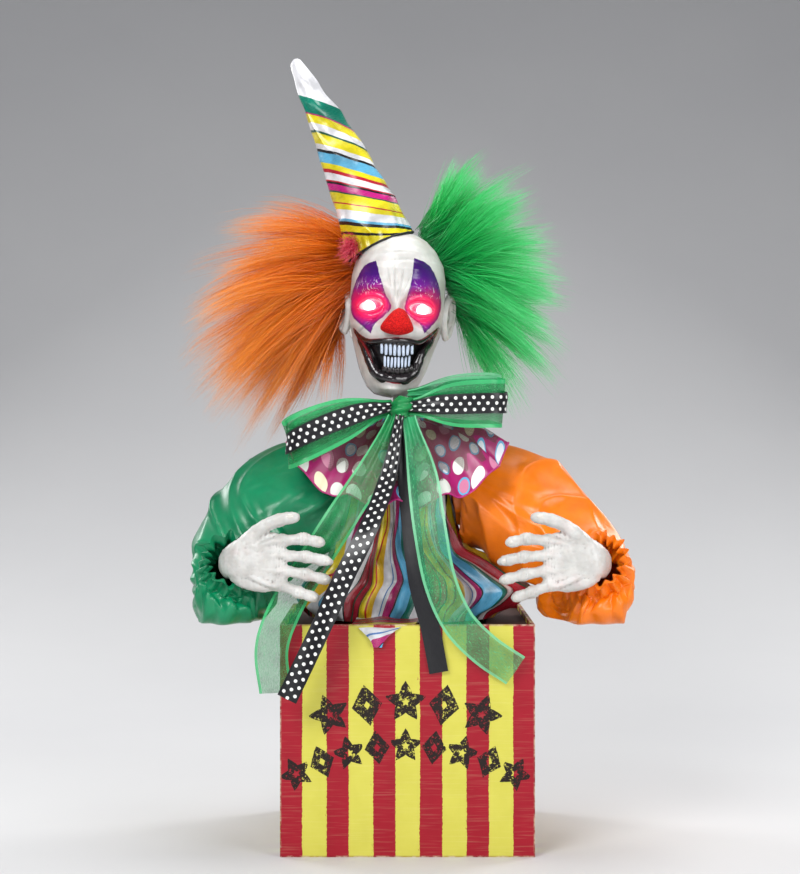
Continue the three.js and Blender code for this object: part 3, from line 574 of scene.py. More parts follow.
def organza_paint(name, green, pale):
    """Sheer woven ribbon, with a satin band along each edge. Across is a vertex value from -1 to 1."""
    paint = Paint(name, green, 0.4, Sheen_Weight=0.12, Sheen_Roughness=0.35)
    cloth = paint.where("UV")
    across = paint.size(paint.attribute("across"))
    gathered = paint.attribute("gathered")
    edge = paint.band(across, 0.80, 0.86)
    rim = paint.band(across, 0.955, 0.985)
    weave = paint.noise(paint.scaled(cloth, (1, 0.35, 1), (0, 0, 0.7)), 1.0, 3, 0.7)
    cloud = paint.noise(cloth, 16, 4)
    colour = paint.mix(paint.band(cloud, 0.35, 0.68), green, dim(green, 0.55))
    colour = paint.mix(paint.times(paint.band(weave, 0.55, 0.75), 0.55), colour, pale)
    colour = paint.mix(paint.times(edge, 0.55), colour, pale)
    colour = paint.mix(rim, colour, tuple(0.5 * (g + p) for g, p in zip(green, pale)))
    paint.set("Base Color", colour)
    sheer = paint.spread(paint.add(weave, paint.times(cloud, 0.4)), 0.45, 0.95, 0.40, 0.72)
    solid = paint.most(paint.most(paint.times(edge, 0.86), rim), paint.times(gathered, 0.93))
    paint.set("Alpha", paint.most(sheer, solid))
    paint.bump((weave, 0.05), (edge, 0.12), (paint.noise(cloth, 7, 3), 0.3))
    return paint


# The pitch of the dots' grid across and along the ribbon, with a dot at every other crossing
DOT_PITCH = (4.9 * MM, 3.7 * MM)


def dotted_paint(name, dots=True):
    """Black satin ribbon, with white dots or plain. Its UV runs across the ribbon and then along it."""
    paint = Paint(name, (0.008, 0.008, 0.01), 0.44, Specular_IOR_Level=0.3)
    paint.set("Anisotropic", 0.4)
    cloth = paint.where("UV")
    x, y = paint.xyz(cloth)[:2]
    threads = paint.noise(paint.scaled(cloth, (1, 0.1, 1)), 0.45, 2)
    black = paint.mix(threads, (0.004, 0.004, 0.005), (0.02, 0.02, 0.024))
    crease = paint.noise(cloth, 9, 4)
    height = threads
    if dots:
        row = paint.math("ROUND", paint.times(x, 1 / DOT_PITCH[0]))
        side = paint.add(x, paint.times(row, -DOT_PITCH[0]))
        odd = paint.times(paint.size(paint.math("MODULO", row, 2.0)), DOT_PITCH[1])
        ahead = paint.math("PINGPONG", paint.add(paint.add(y, odd), 1.0), DOT_PITCH[1])
        far = paint.math("SQRT", paint.add(paint.times(side, side), paint.times(ahead, ahead)))
        wobble = paint.wobble(cloth, 2, 2, 0.35 * MM)
        dot = paint.band(paint.add(far, wobble), 1.5 * MM, 1.32 * MM)
        black = paint.mix(dot, black, (0.82, 0.83, 0.80))
        height = dot
        paint.set("Roughness", paint.mix(dot, (0.3, 0.3, 0.3), (0.6, 0.6, 0.6)))
    paint.set("Base Color", black)
    paint.bump((crease, 0.25), (height, 0.04), (threads, 0.012))
    return paint


def collar_paint():
    paint = Paint("dotted_satin", (0.4, 0.01, 0.15), 0.34, **SATIN)
    cloth = paint.where("UV")
    flat = paint.scaled(cloth, (1, 1, 0))
    cells = dict(feature="F1", voronoi_dimensions="2D")
    inputs = {"Vector": flat, "Scale": 1000 / 17.5, "Randomness": 0.32}
    far = paint.node("TexVoronoi", inputs, out="Distance", **cells)
    tint = paint.xyz(paint.node("TexVoronoi", inputs, out="Color", **cells))[0]
    ground = paint.mix(paint.noise(cloth, 14, 3), (0.22, 0.004, 0.07), (0.46, 0.010, 0.17))
    dot = paint.ramp(tint, [(0, (0.78, 0.80, 0.74)), (0.45, (0.80, 0.74, 0.50)), (0.62, (0.62, 0.20, 0.34)),
                            (0.76, (0.74, 0.80, 0.84))], steps=True)
    ring = paint.times(paint.band(far, 0.27, 0.285), paint.math("GREATER_THAN", tint, 0.72))
    dot = paint.mix(ring, dot, (0.12, 0.42, 0.66))
    colour = paint.mix(paint.band(far, 0.37, 0.35), ground, dot)
    paint.set("Base Color", colour)
    paint.bump((paint.noise(cloth, 8, 3), 0.3))
    return paint


def net_paint():
    """Fine dark net: threads at two slants, and clear between them."""
    paint = Paint("dark_net", (0.07, 0.035, 0.03), 0.6, Sheen_Weight=0.1)
    cloth = paint.where("UV")
    x, y = paint.xyz(cloth)[:2]
    pitch = 1.5 * MM
    threads = None
    for lean in (0.62, -0.62):
        run = paint.math("PINGPONG", paint.add(paint.add(x, paint.times(y, lean)), 1.0), pitch / 2)
        thread = paint.band(run, 0.20 * MM, 0.12 * MM)
        threads = thread if threads is None else paint.most(threads, thread)
    paint.set("Base Color", paint.mix(paint.noise(cloth, 20, 3), (0.05, 0.02, 0.02), (0.20, 0.12, 0.09)))
    paint.set("Alpha", paint.most(paint.times(threads, 0.92), 0.16))
    return paint


def make_shirt():
    profile = [
        (184.6, -4, 80, 70), (190, -3, 83, 72), (198, 0, 88, 72), (208, 3, 86, 69), (218, 4, 78, 65),
        (230, 1, 66, 61), (246, -5, 52, 58), (272, -6, 43, 55), (312, -6, 40, 48), (338, -6, 33, 38),
        (352, -6, 22, 25),
    ]  # height, middle, half width and half depth
    rows_at = spline([(0, 0, z, x, w, d) for z, x, w, d in profile][::-1], 90)
    z, x, w, d = rows_at[:, 2:].T
    turn = np.linspace(0, 2 * PI, 421)
    t, zz = np.meshgrid(turn, z)
    low = smooth(zz, 330, 205)
    count = 23
    sway = 0.45 * np.sin(3 * t + 1.0) + 0.3 * np.sin(5 * t + zz / 31)
    pleats = np.cos(count * t + 1.6 * sway + 0.006 * (300 - zz) * np.sin(2 * t))
    pleats += 0.35 * np.cos(2 * count * t + 3 * sway)
    field = np.stack([np.cos(t) * 60, np.sin(t) * 60, zz], -1)
    out = pleats * (1.0 + 4.2 * low) * smooth(zz, 183, 196) + 2.2 * ripple(field, 30, 3) * low
    out += 22 * np.exp(-(((t + PI) % (2 * PI) - PI + 0.55) / 0.42) ** 2) * hump(zz, 211, 15)
    tuck = np.exp(-(((t - 1.5 * PI) / 0.5) ** 2)) * 9 * hump(zz, 262, 20)
    out -= tuck
    lift = 2.4 * ripple(field, 22, 4) * smooth(zz, 184, 200) * low
    px = x[:, None] + (w[:, None] + out) * np.cos(t)
    py = (d[:, None] + out * 0.75) * np.sin(t)
    rows = np.stack([px, py, zz + lift], -1)
    rows[:, -1] = rows[:, 0]
    run = np.r_[0, np.cumsum(np.linalg.norm(np.diff(rows_at[:, 2:4], axis=0), axis=1) + 0.3)]
    uv = np.stack(np.meshgrid(turn / (2 * PI) * 704, run), -1)
    made = grid("striped_shirt", rows, PAINTS["shirt"], uv=uv)
    placed(made, "striped_satin", "shirt_body", "shirt_hem")
    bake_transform(made)
    # A corner of the hem that lies over the front edge of the box's opening
    u, v = np.meshgrid(np.linspace(-1, 1, 40), np.linspace(0, 1, 34))
    half = 26 * (1 - smooth(v, 0.55, 1.0) * 0.86)
    path = spline([(-14, -58, 190), (-16, -70, 187.4), (-19, -88, 184.6), (-22, -101, 183.2),
                   (-23.5, -104.6, 178), (-24, -105.2, 168)], 34)
    rows = path[:, None] + np.zeros((34, 40, 3))
    rows[..., 0] += u * half
    fold = np.cos(u * 4.2 + v * 2.0) * 1.2 * (1 - v) + 1.0
    rows[..., 2] += np.where(v < 0.72, fold, fold * (1 - v) / 0.28)
    rows[..., 1] -= np.where(v < 0.72, 0, 1) * 0.5 * u**2
    uv = np.stack([91.6 - (1 - v) * 62 + 3 * u, u * 26], -1)
    tip = grid("shirt_hem_corner", rows, PAINTS["shirt"], "box", uv)


def make_collar():
    turn = np.radians(np.linspace(-100, 100, 261))
    part = np.linspace(0, 1, 46)
    a, v = np.meshgrid(turn, part)

    def surface(reach, lift, depth, seed):
        s, c = np.sin(a), np.cos(a)
        frill = np.cos(13 * a + 1.1 * np.sin(4 * a + seed)) + 0.2 * np.cos(27 * a + seed)
        ends = smooth(np.abs(a), math.radians(100), math.radians(70))
        inner = np.stack([-6 + 24 * s, -22 - 12 * c, 349 + 0 * a], -1)
        outer = np.stack([-8 + 90 * s, -50 - 36 * c, 333 - 52 * c * ends - 6 * (1 - ends)], -1)
        vv = v[..., None] * reach
        rows = inner * (1 - vv) + outer * vv
        sag = np.sin(v * PI) * 7
        normal = unit(np.stack([0.45 * s, -0.35 - 0.45 * c, 0.8 + 0 * a], -1))
        wave = frill * (1.2 + depth * v**1.3) + sag + lift
        rows = rows + normal * wave[..., None]
        rows[..., 2] += 1.0 * np.cos(13 * a + 0.6) * v
        return rows

    rows = surface(1.0, 0.0, 3.4, 0.0)
    arc = turn * 84
    uv = np.stack([np.broadcast_to(arc, a.shape) * (0.55 + 0.45 * v), v * 78], -1)
    made = grid("dotted_collar_cloth", rows, PAINTS["collar"], "torso", uv)
    placed(made, "dotted_collar", "collar")
    rows = surface(0.86, 2.2, 3.6, 0.0)
    rows += np.stack([0 * a, -0.8 * np.cos(31 * a) * v, 0 * a], -1)
    uv = np.stack([np.broadcast_to(arc, a.shape), v * 66], -1)
    net = grid("collar_net", rows, PAINTS["net"], "torso", uv)
    # The rolled hem along the collar's edge
    edge = surface(1.0, 0.0, 3.4, 0.0)[-1]
    hem = tube_mesh("collar_hem", edge, np.full(len(edge), 0.75), 8, PAINTS["hem"], "torso", (0, 1, 0.3))


def ribbon(name, node, slot, points, width, paint, body="torso", towards=(0, 0, 1), gather=(), fold=0.0,
           seed=0, across_waves=1.5, n=120):
    """A ribbon along a curve. gather holds (place along it, how narrow, reach) where it is bunched."""
    path = spline(points, n)
    t = np.linspace(0, 1, n)
    narrow = np.ones(n)
    for place, share, reach in gather:
        narrow *= 1 - (1 - share) * np.exp(-(((t - place) / reach) ** 2))
    _, across, out = frames(path, towards)
    m = 25
    u = np.linspace(-1, 1, m)
    uu, tt = np.meshgrid(u, t)
    wave = ripple(np.stack([tt * 6, uu * across_waves, 0 * tt], -1), 2.2, seed, 8)
    pleat = np.cos(uu * PI * 2.4) * (1 - narrow[:, None]) * 2.4
    rows = path[:, None] + across[:, None] * (uu * width / 2 * narrow[:, None])[..., None]
    rows = rows + out[:, None] * (wave * fold + pleat)[..., None]
    run = run_along(path)
    uv = np.stack([uu * width / 2, np.broadcast_to(run[:, None], uu.shape)], -1)
    bunched = np.clip((1 - narrow[:, None]) * 1.9, 0, 1) + 0 * uu
    made = grid(name, rows, paint, body, uv, across=uu, gathered=bunched)
    placed(made, slot, *([node] if node else []))
    return made


def make_bow():
    organza, dotted, black = PAINTS["organza"], PAINTS["dotted"], PAINTS["black"]
    mint = PAINTS["mint"]
    y0 = -74.0

    def loop(points, deep=1.0):
        return [(x, y0 + dy * deep, z) for x, dy, z in points]

    left = [(-12, -3, 360), (-34, -8, 356), (-60, -9.5, 347), (-84, -8.5, 336), (-95, -2.5, 330),
            (-95.5, 2.5, 330.5), (-84, 7.5, 338), (-50, 8, 351), (-14, 3, 360)]
    right = [(0, -3, 360), (22, -8, 361.5), (48, -9, 362.5), (68, -8, 363), (76.5, -2.5, 363),
             (76.5, 2.5, 364), (66, 7.5, 366), (36, 8, 365), (2, 3, 361)]
    pinch = [(0.0, 0.34, 0.17), (1.0, 0.34, 0.17)]
    more = dict(gather=pinch, towards=(0, 0.0, 1))
    ribbon("organza_loop_left_cloth", "organza_loop_left", "green_organza", loop(left), 39, organza, fold=1.3,
           seed=5, **more)
    ribbon("organza_loop_right_cloth", "organza_loop_right", "green_organza", loop(right), 39, organza,
           fold=1.3, seed=6, **more)
    back_left = [(x * 0.97, dy + 8, z + 1) for x, dy, z in left]
    ribbon("organza_second_left", None, "green_organza", loop(back_left), 30, organza, fold=1.5, seed=7,
           **more)
    back_right = [(x * 0.98, dy + 9, z + 10) for x, dy, z in right]
    ribbon("organza_second_right", None, "green_organza", loop(back_right), 26, mint, fold=1.2, seed=8,
           **more)
    wrap_left = [(x * 1.02 - 0.5, dy * 1.32 - (1.6 if dy < 0 else 0), z + 0.5) for x, dy, z in left]
    ribbon("dotted_loop_left_cloth", "dotted_loop_left", "dotted_ribbon", loop(wrap_left), 16.5, dotted,
           fold=0.7, seed=9, gather=[(0, 0.5, 0.1), (1, 0.5, 0.1)])
    wrap_right = [(x * 1.045 + 0.5, dy * 1.32 - (1.6 if dy < 0 else 0), z + 0.5) for x, dy, z in right]
    ribbon("dotted_loop_right_cloth", "dotted_loop_right", "dotted_ribbon", loop(wrap_right), 16.5, dotted,
           fold=0.7, seed=10, gather=[(0, 0.5, 0.1), (1, 0.5, 0.1)])

    tails = [
        ("dotted_tail", [(-6, -86, 354), (-15, -98, 306), (-31, -124, 264), (-49, -131.0, 228),
                         (-65, -131.5, 193),
                         (-80, -131.5, 161), (-95, -130, 130)], 16.5, dotted, "dotted_ribbon", 0.6),
        ("organza_tail_left", [(-10, -84, 352), (-28, -92, 311), (-51, -105, 274), (-74, -109, 238),
                               (-96, -111, 202),
                               (-108, -110, 168), (-105, -108, 132)], 27, organza, "green_organza", 1.6),
        ("black_tail", [(-4, -81, 346), (1, -90, 285), (8, -103.8, 223), (18, -104.6, 184),
                        (25, -105.4, 148)], 15.5,
         black, "dotted_ribbon", 0.5),
        ("organza_tail_right", [(1, -84, 352), (11, -91.5, 310), (18, -104, 262), (26, -109.5, 221),
                                (40, -110.5, 189),
                                (61, -110, 167), (86, -109.5, 150)], 27, mint, "green_organza", 1.6),
    ]
    for index, (name, points, width, paint, slot, fold) in enumerate(tails):
        ribbon(name + "_cloth", name, slot, points, width, paint, towards=(1, -0.12, 0.15), fold=fold,
               gather=[(0, 0.45, 0.16)], seed=20 + index, n=150)
    # The knot: a wrapped, pinched turn of organza, with a band of ribbon round the neck
    turn = np.linspace(0, 2 * PI, 97)
    height = np.linspace(-1, 1, 41)
    t, h = np.meshgrid(turn, height)
    r = 1 - 0.30 * h**2
    turned = np.stack([np.cos(t), np.sin(t), h], -1)
    creases = 0.9 * np.cos(9 * h + 1.3 * np.sin(2 * t)) + 0.5 * ripple(turned, 0.9, 31)
    rows = np.stack([-5 + (8.8 * r + creases) * np.cos(t) + 2 * h, -76 + (9 * r + creases) * np.sin(t),
                     358.5 + 10.5 * h + 0.6 * np.cos(3 * t)], -1)
    uv = np.stack([t * 8, h * 12], -1)
    knot = grid("bow_knot_cloth", rows, PAINTS["knot"], "torso", uv, across=0 * h, gathered=1 + 0 * h)
    placed(knot, "green_organza", "bow_knot")
    a = np.linspace(0, 2 * PI, 121)
    ring = np.stack([-7 + 24.5 * np.cos(a), -30 + 40 * np.sin(a), 358.5 + 2 * np.sin(a)], 1)
    rows = ring[:, None] + np.stack([0 * height, 0 * height, height * 5.5], 1)[None]
    rows[..., 1] += 0.5 * np.cos(height * 6)
    uv = np.stack(np.meshgrid(height * 5.5, a * 30), -1)
    across = np.broadcast_to(height, rows.shape[:2])
    band = grid("bow_neck_band", rows, PAINTS["organza"], "torso", uv, across=across,
                gathered=across * 0 + 0.9)


SETTLE_LIMIT = 16  # how far a point may move while the cloth settles
BOX_TOP = 186.5  # cloth that would lie lower than this is flattened against the box
CLEAR_OF_SIDE = 108.0  # where the low part of a sleeve hangs, beyond the box's side


def settle(rows, held, frames_run, growth, pressure, gravity):
    """Lets cloth that is a closed ring of points settle, and returns its rows. held marks fixed points."""
    n, m = rows.shape[:2]
    cloth = grid("settling", rows, PAINTS["hem"], wrap=True)
    group = cloth.vertex_groups.new(name="held")
    for share in (1.0, 0.5, 0.2):
        group.add([int(k) for k in np.nonzero(np.abs(held.ravel() - share) < 0.01)[0]], share, "REPLACE")
    step = cloth.modifiers.new("Cloth", "CLOTH")
    s = step.settings
    s.vertex_group_mass = "held"
    s.quality, s.mass, s.air_damping = 6, 0.12, 2.0
    s.tension_stiffness = s.compression_stiffness = 18
    s.shear_stiffness, s.bending_stiffness = 6, 0.35
    s.tension_damping = s.compression_damping = s.shear_damping = 8
    s.use_pressure, s.uniform_pressure_force = True, pressure
    s.shrink_min = -growth
    s.effector_weights.gravity = gravity
    step.collision_settings.use_collision = False
    step.point_cache.frame_start, step.point_cache.frame_end = 1, frames_run
    for frame_number in range(1, frames_run + 1):
        scene.frame_set(frame_number)
    settled = bpy.data.meshes.new_from_object(cloth.evaluated_get(bpy.context.evaluated_depsgraph_get()))
    points = np.empty(len(settled.vertices) * 3)
    settled.vertices.foreach_get("co", points)
    bpy.data.objects.remove(cloth)
    scene.frame_set(1)
    points = points.reshape(n, m, 3) / MM
    shift = points - rows
    far = np.maximum(np.linalg.norm(shift, axis=-1, keepdims=True), 1e-6)
    return rows + shift * np.minimum(1, SETTLE_LIMIT / far)


def make_sleeve(side, path_points, name, node, slot, arm, paint, seed):
    """A full satin sleeve, gathered at shoulder and cuff, creased across the elbow and baggy below it."""
    rows_n, cols = 120, 144
    curve = spline(path_points, rows_n)
    path, radius = curve[:, :3], curve[:, 3]
    t = np.linspace(0, 1, rows_n)[:, None]
    ring = tube(path, radius, cols, (0, 0, 1))
    way = unit(ring - path[:, None])
    a = np.linspace(0, 2 * PI, cols, endpoint=False)[None]
    wander = 0.8 * np.sin(2 * a + seed) + 0.5 * np.sin(3 * a + 5 * t + seed)
    pucker = np.cos(15 * a + 2.0 * wander) * (0.3 + 2.4 * smooth(t, 0.62, 0.97)) * smooth(t, 0.45, 0.85)
    pucker += np.cos(11 * a + 1.7 * wander) * 1.8 * smooth(t, 0.22, 0.0)
    flat = np.stack([np.cos(a) * 44 + 0 * t, np.sin(a) * 44 + 0 * t, t * 270 + 0 * a], -1)
    # Long creases that run slantwise along the arm: the ridges of two smooth fields
    slant = flat @ np.array([[1, 0, 0], [0, 1, 0.0], [0.30, 0.42, 0.30]])
    one, two = ripple(slant, 78, seed + 1, 7), ripple(slant, 50, seed + 2, 9)
    ridge = (1 - np.abs(np.tanh(1.3 * one))) * 10.0 + (1 - np.abs(np.tanh(1.5 * two))) * 5.0
    hold = smooth(t, 0.0, 0.16) * smooth(t, 1.0, 0.80)
    sag = np.clip(-way[..., 2], 0, 1) ** 2 * 7 * smooth(t, 0.25, 0.5) * smooth(t, 0.95, 0.72)
    rows = ring + way * (pucker + (ridge - 6.5) * hold + sag)[..., None]
    held = np.zeros((rows_n, cols))
    held[:2] = held[-3:] = 1.0
    held[2:4] = held[-5:-3] = 0.5
    rows = settle(rows, held, 18, 0.16, 0.05, 0.5)
    rows[..., 2] = np.where(rows[..., 2] < BOX_TOP, BOX_TOP - (BOX_TOP - rows[..., 2]) * 0.2, rows[..., 2])
    # It hangs clear of the box's side, so that the figure can sink
    clear = CLEAR_OF_SIDE * smooth(rows[..., 2], 232, 212)
    rows[..., 0] = side * np.maximum(side * rows[..., 0], clear)
    # The frill beyond the cuff's elastic
    extra = 9
    end, along = rows[-1], unit(path[-1] - path[-4])
    k = np.linspace(0, 1, extra)[1:, None, None]
    out = unit(end - path[-1])
    wave = (np.cos(21 * a[0] + 3 * wander[-1]) * 0.9 + np.cos(9 * a[0]) * 0.9)[None, :, None]
    frill = end + along * k * 8.0 + out * (k * 5.0 + wave * k - 2.6 * np.sin(k * PI))
    rows = np.concatenate([rows, frill], 0)
    rows = np.concatenate([rows, rows[:, :1]], 1)
    run = run_along(path)
    run = np.r_[run, run[-1] + np.linspace(0, 11, extra)[1:]]
    uv = np.stack(np.meshgrid(np.r_[a[0], 2 * PI] * 44, run), -1)
    made = grid(name, rows, paint, arm, uv)
    modify(made, "SUBSURF", levels=1, render_levels=1)
    placed(made, slot, node)
    return made


LEFT_SLEEVE = [(-47, 0, 300, 39), (-62, 0, 302, 42), (-98, -5, 297, 45), (-136, -18, 266, 45),
               (-150, -44, 228, 41), (-150, -74, 220, 34), (-145, -92, 230, 24), (-142.5, -99, 234, 18.5)]


def mirrored(points):
    """The right arm: the left one mirrored, and set outwards beyond the shoulder."""
    p = np.array(points, float)
    p[:, 0] = -12 + 24 * smooth(-p[:, 1], 2, 45) - p[:, 0]
    return p


def make_cloth():
    PAINTS["shirt"] = shirt_paint()
    PAINTS["collar"] = collar_paint()
    PAINTS["net"] = net_paint()
    PAINTS["hem"] = satin_paint("magenta_hem", (0.30, 0.005, 0.10), (0.55, 0.02, 0.22), 0.1)
    PAINTS["organza"] = organza_paint("green_organza", (0.0, 0.30, 0.075), (0.05, 0.58, 0.20))
    PAINTS["mint"] = organza_paint("mint_organza", (0.03, 0.40, 0.15), (0.25, 0.72, 0.40))
    PAINTS["knot"] = organza_paint("knot_organza", (0.0, 0.26, 0.06), (0.03, 0.50, 0.16))
    PAINTS["dotted"] = dotted_paint("dotted_ribbon")
    PAINTS["black"] = dotted_paint("plain_black_ribbon", dots=False)
    PAINTS["green_satin"] = satin_paint("green_satin", (0.0, 0.085, 0.034), (0.0, 0.26, 0.105))
    PAINTS["orange_satin"] = satin_paint("orange_satin", (0.62, 0.095, 0.0), (1.0, 0.235, 0.002))
    make_shirt()
    make_collar()
    make_bow()
    make_sleeve(-1, LEFT_SLEEVE, "green_sleeve_cloth", "green_sleeve", "green_satin", "left_arm",
                PAINTS["green_satin"], 3)
    make_sleeve(1, mirrored(LEFT_SLEEVE), "orange_sleeve_cloth", "orange_sleeve", "orange_satin", "right_arm",
                PAINTS["orange_satin"], 8)


PAINTS = {}


# ---- The head ----
HEAD_MIDDLE = np.array([-9.0, -18.0, 440.0])
ROLL = math.radians(3.8)  # clockwise from the front
CHIN = 369.0
SKULL = 2.2  # the power of the head's oval
HALF_WIDTH = [(0, 0), (1, 6), (3, 14.5), (8, 20.5), (14, 24), (24, 28.3), (34, 31.5), (45, 34.8), (58, 38.2),
              (72, 39.6), (85, 39.8), (100, 39.5), (112, 37), (124, 30), (132, 22), (137, 13), (139.5, 0)]
FRONT = [(0, 38), (6, 47), (20, 51), (32, 52), (50, 52), (70, 50), (88, 54), (105, 53), (120, 45), (132, 29),
         (137, 16), (139.5, 0)]
BACK = [(0, 10), (20, 20), (40, 37), (70, 51), (100, 55), (120, 45), (132, 29), (137, 16), (139.5, 0)]
EYES = {"left": (-30.6, 443.9), "right": (11.6, 440.4)}
MOUTH = outline(
    [(-44.5, 425.6), (-38.5, 419.5), (-31.8, 415.8), (-20, 415.6), (-6.9, 416.4), (2, 415.5), (9.7, 414.6),
     (18, 419.5), (26.3, 426.4)],
    [(26.3, 426.4), (22.5, 418), (20.1, 411.9), (13.9, 402.6), (10.8, 393.5), (7.6, 385.9), (-0.7, 380.9),
     (-11, 380.2), (-21.5, 383.8), (-27.7, 392), (-32.9, 404.6), (-39.2, 415), (-44.5, 425.6)],
    count=40,
)
PATCH_LEFT = outline(
    [(-25.6, 480.5), (-35, 477), (-42.6, 464.8), (-47.3, 450), (-45.9, 437), (-38.8, 428.8), (-29.8, 420.6)],
    [(-29.8, 420.6), (-26.6, 428.4), (-18.8, 435.2), (-13.0, 442), (-17.4, 452), (-21.6, 464.8),
     (-25.6, 480.5)],
)
PATCH_RIGHT = outline(
    [(5.6, 482.5), (17.4, 477.4), (25.3, 463.8), (28.2, 449.3), (26.6, 437), (21.5, 428.6), (13.9, 420.6)],
    [(13.9, 420.6), (10.8, 428.2), (3.2, 433.7), (-2.2, 440.4), (-0.2, 450.4), (3.4, 463.8), (5.6, 482.5)],
)


def along_table(table, v):
    """A table of (height above the chin, value), read at v."""
    at, value = np.array(table, float).T
    return np.interp(v, at, value)


def rolled(points):
    """Points of the upright head, turned with its roll."""
    p = np.asarray(points, float) - HEAD_MIDDLE
    c, s = math.cos(ROLL), math.sin(ROLL)
    turned = [p[..., 0] * c + p[..., 2] * s, p[..., 1], p[..., 2] * c - p[..., 0] * s]
    return np.stack(turned, -1) + HEAD_MIDDLE


def upright(x, z):
    """A place on the rolled face, as it is on the upright one: (across from the middle, above the chin)."""
    c, s = math.cos(ROLL), math.sin(ROLL)
    dx, dz = x - HEAD_MIDDLE[0], z - HEAD_MIDDLE[2]
    return dx * c - dz * s, dz * c + dx * s + HEAD_MIDDLE[2] - CHIN


def bump_at(h, v, x0, v0, wide, tall, lean=0.0):
    """1 at a place on the face, falling away over its width and height. lean turns it."""
    dx, dv = h - x0, v - v0
    dx, dv = dx * math.cos(lean) + dv * math.sin(lean), dv * math.cos(lean) - dx * math.sin(lean)
    return np.exp(-((dx / wide) ** 2) - (dv / tall) ** 2)


def relief(h, v):
    """How far the face stands out at each place, in millimetres."""
    a = np.abs(h)
    out = -9.5 * bump_at(a, v, 20.5, 73.5, 11.5, 8.5) + 4.2 * bump_at(a, v, 21, 88.5, 13, 5.0, -0.25)
    out += 3.4 * bump_at(a, v, 7, 84, 4.6, 6.5, 0.4) - 2.2 * bump_at(h, v, 0, 87, 1.8, 11)
    out += (6.0 * bump_at(h, v, 0.5, 72, 4.5, 12) + 9 * bump_at(h, v, 0.5, 60, 7.5, 8)
            + 4 * bump_at(a, v, 8, 56, 4, 4.5))
    out += 6.2 * bump_at(a, v, 29, 57, 8.5, 7, -0.5) - 5.0 * bump_at(a, v, 33, 38, 6.5, 14, 0.2)
    out += (5.5 * bump_at(h, v, 0, 38, 21, 17) + 6.0 * bump_at(h, v, 0, 5, 12, 7)
            - 2.0 * bump_at(h, v, 0, 14, 12, 2.5))
    out += -2.4 * bump_at(a, v, 38, 90, 7, 12) + 1.6 * bump_at(a, v, 14, 107, 11, 8)
    for x0, v0, lean, deep in [(-2.6, 96, 0.10, 1.5), (2.4, 94, -0.16, 1.3), (-6.5, 92, 0.28, 0.9),
                               (7.0, 91, -0.34, 0.9)]:
        out -= deep * bump_at(h, v, x0, v0, 1.1, 12, lean)
    for v0, deep in [(112, 0.7), (119, 0.55)]:
        bend = v0 - 0.006 * h * h + 1.2 * np.sin(h / 7)
        out -= deep * hump(v, bend, 1.3) * np.exp(-((h / 20) ** 2))
    crease = np.where(v < 66, 13 + (66 - v) * 1.15, 13)
    out -= 1.9 * hump(a, crease, 1.6) * smooth(v, 38, 48) * smooth(v, 68, 62)
    for step, deep in [(36.5, 1.3), (39.5, 0.9)]:
        bag = step + 20 - 0.045 * (a - 20) ** 2
        out -= deep * np.exp(-(((v - bag - 6) / 1.1) ** 2)) * hump(a, 21, 12)
    lid = np.hypot((a - 20.8) / 1.35, v - 73.5)
    out += 2.6 * hump(lid, 8.3, 1.7)
    out -= 1.0 * hump(lid, 11.6, 1.2)
    return out


def face_y(x, z):
    """The face's surface at a place seen from the front, before the mouth is opened."""
    h, v = upright(np.asarray(x, float), np.asarray(z, float))
    w, f = along_table(HALF_WIDTH, v), along_table(FRONT, v)
    round_ = np.clip(1 - np.abs(h / np.maximum(w, 1e-3)) ** SKULL, 0, 1) ** (1 / SKULL)
    return HEAD_MIDDLE[1] - f * round_ - relief(h, v) * smooth(round_, 0.12, 0.5)


def skull(turn, v):
    """Points of the upright head. turn is 0 at the front and rises towards +X."""
    w = along_table(HALF_WIDTH, v)
    front = np.cos(turn) > 0
    d = np.where(front, along_table(FRONT, v), along_table(BACK, v))
    c, s = np.cos(turn), np.sin(turn)
    power = 2 / SKULL
    h = w * np.sign(s) * np.abs(s) ** power
    depth = np.abs(c) ** power
    y = -d * depth * np.where(front, 1, -1)
    raised = relief(h, v) * smooth(depth, 0.12, 0.5) * front
    return np.stack([HEAD_MIDDLE[0] + h, HEAD_MIDDLE[1] + y - raised, CHIN + v], -1)


def vinyl_paint(name, face=False):
    """Pale painted vinyl. Returns its paint and the fields that each use of it builds on."""
    skin = Paint(name, (0.72, 0.70, 0.66), 0.42, Subsurface_Weight=0.12, Subsurface_Scale=0.004,
                 Coat_Weight=0.12, Coat_Roughness=0.35)
    skin.set("Subsurface Radius", (1.0, 0.5, 0.35))
    place = skin.where()
    mottle = skin.noise(place, 18, 5)
    colour = skin.mix(skin.band(mottle, 0.35, 0.68), (0.50, 0.49, 0.465), (0.66, 0.65, 0.625))
    fine = skin.noise(place, 3.2, 4)
    pores = skin.noise(place, 0.9, 2)
    # Painted shade: darker in the creases and hollows, where the pointiness is low
    dents = skin.node("NewGeometry", out="Pointiness")
    crease_shade = skin.band(dents, 0.495, 0.44 if face else 0.455)
    colour = skin.mix(skin.times(crease_shade, 0.62), colour, (0.17, 0.14, 0.13))
    blush = skin.band(skin.noise(place, 26, 2), 0.56, 0.72)
    colour = skin.mix(skin.times(blush, 0.14), colour, (0.62, 0.30, 0.30))
    return skin, place, colour, mottle, fine, pores


